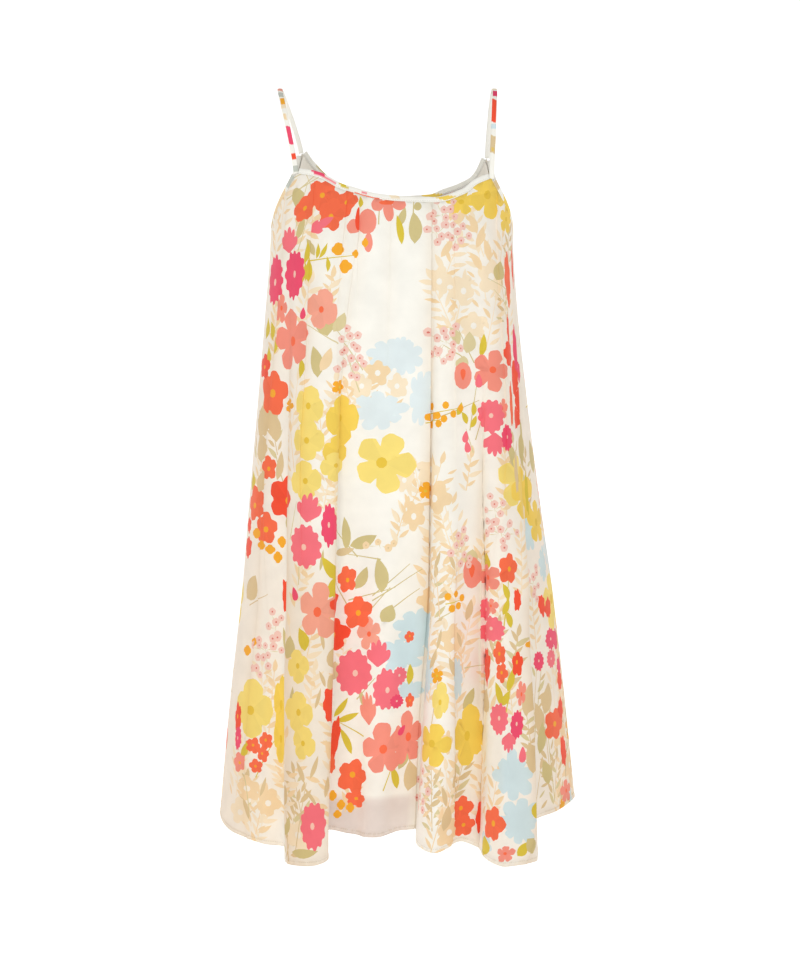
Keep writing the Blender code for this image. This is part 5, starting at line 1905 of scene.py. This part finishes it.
def armhole_binding(hand, count=61):
    """Binds one armhole, over the side seam."""
    front = armhole_line("front", hand, count)
    back = armhole_line("back", hand, count)
    edge, away, normal = (np.concatenate([f[:-1], b[::-1]]) for f, b in zip(front, back))
    meet = count - 1
    edge[meet, 1] = 0.0
    away[meet], normal[meet] = (0, 0, 1), (OUT[hand], 0, 0)
    for k in range(1, TURNING):
        share = (k / TURNING) ** 0.8
        for place in (meet - k, meet + k):
            away[place] = (1 - share) * away[meet] + share * away[place]
            normal[place] = (1 - share) * normal[meet] + share * normal[place]
    away = unit(away)
    normal = unit(normal - away * (normal * away).sum(axis=1)[:, None])
    middle = binding_lines(edge, away, normal)
    obj, run, cross = strip(f"armhole_strip_{hand}", middle, away, normal, BINDING_WIDTH, BINDING_THICKNESS)
    paint_strip(obj, run, cross, ARM_PATCHES[hand])
    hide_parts(f"armhole_binding_{hand}")
    PIECES[obj.name] = (obj, run[-1])


for hand in OUT:
    armhole_binding(hand)
print("armhole bindings added:", len(PIECES), "strips so far")

# %% [markdown]
# The straps are rolled narrower than the bindings and have no stitches that show. Each runs over the
# shoulder in a tall arch, from the front corner to the back one, and leans a little to one side.

# %% Straps
STRAP_WIDTH = 0.0060
STRAP_THICKNESS = 0.0022
STRAP_CLEAR = -0.0006  # height of its ends over the cloth's corners
STRAP_TOP = {"left": -0.1320, "right": 0.1215}  # x of its highest point
STRAP_SHAPE = 0.75  # less than 1 squares the arch off
STRAP_LEAN = 0.90  # less than 1 makes it lean over early
STRAP_PATCHES = {
    "left": [
        # dye, start and end along the strap, low and high edge, slant
        ("grey", 0.002, 0.010, -0.5, 0.5, 0.0),
        ("red", 0.016, 0.024, -0.4, 0.45, 0.0),
        ("pink", 0.034, 0.056, -0.35, 0.45, 0.002),
        ("peach", 0.064, 0.072, -0.4, 0.3, 0.002),
        ("cream", 0.080, 0.086, -0.5, 0.5, 0.0),
        ("amber", 0.086, 0.095, -0.4, 0.5, 0.0),
        ("grey", 0.098, 0.108, -0.5, 0.5, 0.002),
        ("salmon", 0.112, 0.128, -0.5, 0.5, 0.004),
        ("brick", 0.120, 0.124, -0.3, 0.3, 0.002),
        ("salmon", 0.134, 0.160, -0.5, 0.2, 0.004),
        ("brick", 0.142, 0.146, -0.2, 0.4, 0.002),
    ],
    "right": [
        ("tan", 0.030, 0.050, -0.5, 0.5, 0.002),
        ("ochre", 0.032, 0.036, -0.3, 0.3, 0.0),
        ("blue", 0.058, 0.064, -0.5, 0.5, 0.0),
        ("red", 0.066, 0.098, -0.5, 0.4, 0.003),
        ("magenta", 0.104, 0.118, -0.4, 0.5, 0.002),
        ("cream", 0.122, 0.132, -0.5, 0.5, 0.0),
        ("tan", 0.140, 0.145, -0.4, 0.3, 0.0),
        ("tan", 0.152, 0.157, -0.3, 0.4, 0.0),
        ("olive", 0.163, 0.168, -0.4, 0.4, 0.0),
    ],
}


def strap(hand, count=180):
    """Hangs one strap between the corners of the front and the back."""
    ends = []
    for side in ("front", "back"):
        place = np.array([corner_place(side, hand)])
        ends.append(hang(place, top_of(place, side), side)[0])
    front = ends[0] + np.array([0, 0.0006, STRAP_CLEAR])
    back = ends[1] + np.array([0, -0.0006, STRAP_CLEAR])
    turn = np.linspace(0, math.pi, count)
    before = turn < math.pi / 2
    share = turn / math.pi
    y = np.where(before, front[1], back[1]) * np.abs(np.cos(turn)) ** STRAP_SHAPE
    base = np.where(before, front[2], back[2])
    z = base + (STRAP_THICKNESS / 2 - base) * np.sin(turn) ** STRAP_SHAPE
    lean = np.sin(turn) ** STRAP_LEAN
    x = (front[0] * (1 - share) + back[0] * share) * (1 - lean) + STRAP_TOP[hand] * lean
    middle = np.column_stack([x, y, z])
    run = run_of(middle)
    even = np.linspace(0, run[-1], count)
    middle = np.column_stack([np.interp(even, run, middle[:, k]) for k in range(3)])
    for _ in range(3):
        middle[1:-1] = (middle[:-2] + 2 * middle[1:-1] + middle[2:]) / 4
    along = unit(np.gradient(middle, axis=0))
    wide = np.tile([1.0, 0.0, 0.0], (count, 1))
    wide = unit(wide - along * (wide * along).sum(axis=1)[:, None])
    thick = np.cross(wide, along)
    obj, run, cross = strip(f"strap_strip_{hand}", middle, wide, thick, STRAP_WIDTH, STRAP_THICKNESS)
    paint_strip(obj, run, cross, STRAP_PATCHES[hand], sewn=False)
    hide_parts(f"strap_{hand}")
    PIECES[obj.name] = (obj, run[-1])


for hand in OUT:
    strap(hand)
    print(f"the {hand} strap is {PIECES[f'strap_strip_{hand}'][1]:.3f} m long")

# %% [markdown]
# Last, each strip gets the printed cloth, as the front and the back have. A strip is folded from cloth about
# four times as wide as it looks, so less of it shows than was cut.

# %% The strips' cloth
for name, (obj, length) in PIECES.items():
    obj.data.materials.append(printed)
    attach(obj, "root")
for side in FOLDS:
    outline = panel_outline(side)

# %% [markdown]
# ## Lights, floor and camera
#
# The camera stands 2.6 m in front of the dress, a little above its middle, and looks slightly down,
# as the one that took the picture did. Its lens is long, so the straps don't look large.

# %% Camera
camera = bpy.data.objects.new("camera", bpy.data.cameras.new("camera"))
camera.location = (0.010, -2.6, -0.308)
camera.rotation_euler = (math.radians(86.57), 0, 0)
camera.data.sensor_width = 36
camera.data.lens = 81.17
bpy.context.scene.collection.objects.link(camera)
bpy.context.scene.camera = camera

print("the camera is at", [round(v, 3) for v in camera.location])

# %% [markdown]
# Studio light for clothes is soft and comes from almost everywhere, so that the print's colours stay
# true. A bright, slightly warm sky does most of it. Two wide lamps add soft shade to the folds.

# %% Light
def lamp(name, place, target, size, power, warmth=1.0):
    """A soft square lamp that faces a point."""
    light = bpy.data.lights.new(name, "AREA")
    light.shape = "SQUARE"
    light.size = size
    light.energy = power
    light.color = (1.0, 0.5 + 0.5 * warmth, warmth)
    obj = bpy.data.objects.new(name, light)
    obj.location = place
    obj.rotation_euler = (Vector(target) - Vector(place)).to_track_quat("-Z", "Y").to_euler()
    bpy.context.scene.collection.objects.link(obj)


lamp("front light", (-0.5, -2.6, 0.5), (0, 0, -0.45), 1.6, 18)
lamp("right light", (2.2, -1.2, 0.6), (0, 0, -0.45), 1.2, 3)
world = bpy.data.worlds.new("studio")
bpy.context.scene.world = world
world.use_nodes = True
world.node_tree.nodes["Background"].inputs["Color"].default_value = (1.0, 0.97, 0.93, 1)
world.node_tree.nodes["Background"].inputs["Strength"].default_value = 0.56
bpy.context.scene.view_settings.view_transform = "Standard"
print("the sky gives", round(world.node_tree.nodes["Background"].inputs["Strength"].default_value, 2))

# %% [markdown]
# The floor sweeps up into the wall behind in one smooth curve, so no line crosses the picture. Its
# paper is nearly white and glows a little, as a lit studio sweep does.

# %% Floor and backdrop
FLOOR_Z = -1.35
WALL_Y = 3.6
BEND = 0.7


def sweep():
    """A floor that curves up into a wall, 12 m wide."""
    turn = np.linspace(0, math.pi / 2, 17)
    y = np.concatenate([[-6.0], WALL_Y - BEND + BEND * np.sin(turn), [WALL_Y]])
    z = np.concatenate([[FLOOR_Z], FLOOR_Z + BEND - BEND * np.cos(turn), [4.0]])
    points = [(x, b, c) for b, c in zip(y, z) for x in (-6.0, 6.0)]
    faces = [(2 * i, 2 * i + 1, 2 * i + 3, 2 * i + 2) for i in range(len(y) - 1)]
    obj = add_mesh("studio sweep", points, faces)
    paper = bpy.data.materials.new("white paper")
    paper.use_nodes = True
    finish = paper.node_tree.nodes["Principled BSDF"]
    finish.inputs["Base Color"].default_value = (0.9, 0.9, 0.9, 1)
    finish.inputs["Roughness"].default_value = 0.9
    finish.inputs["Emission Color"].default_value = (1, 1, 1, 1)
    finish.inputs["Emission Strength"].default_value = 0.47
    obj.data.materials.append(paper)


sweep()
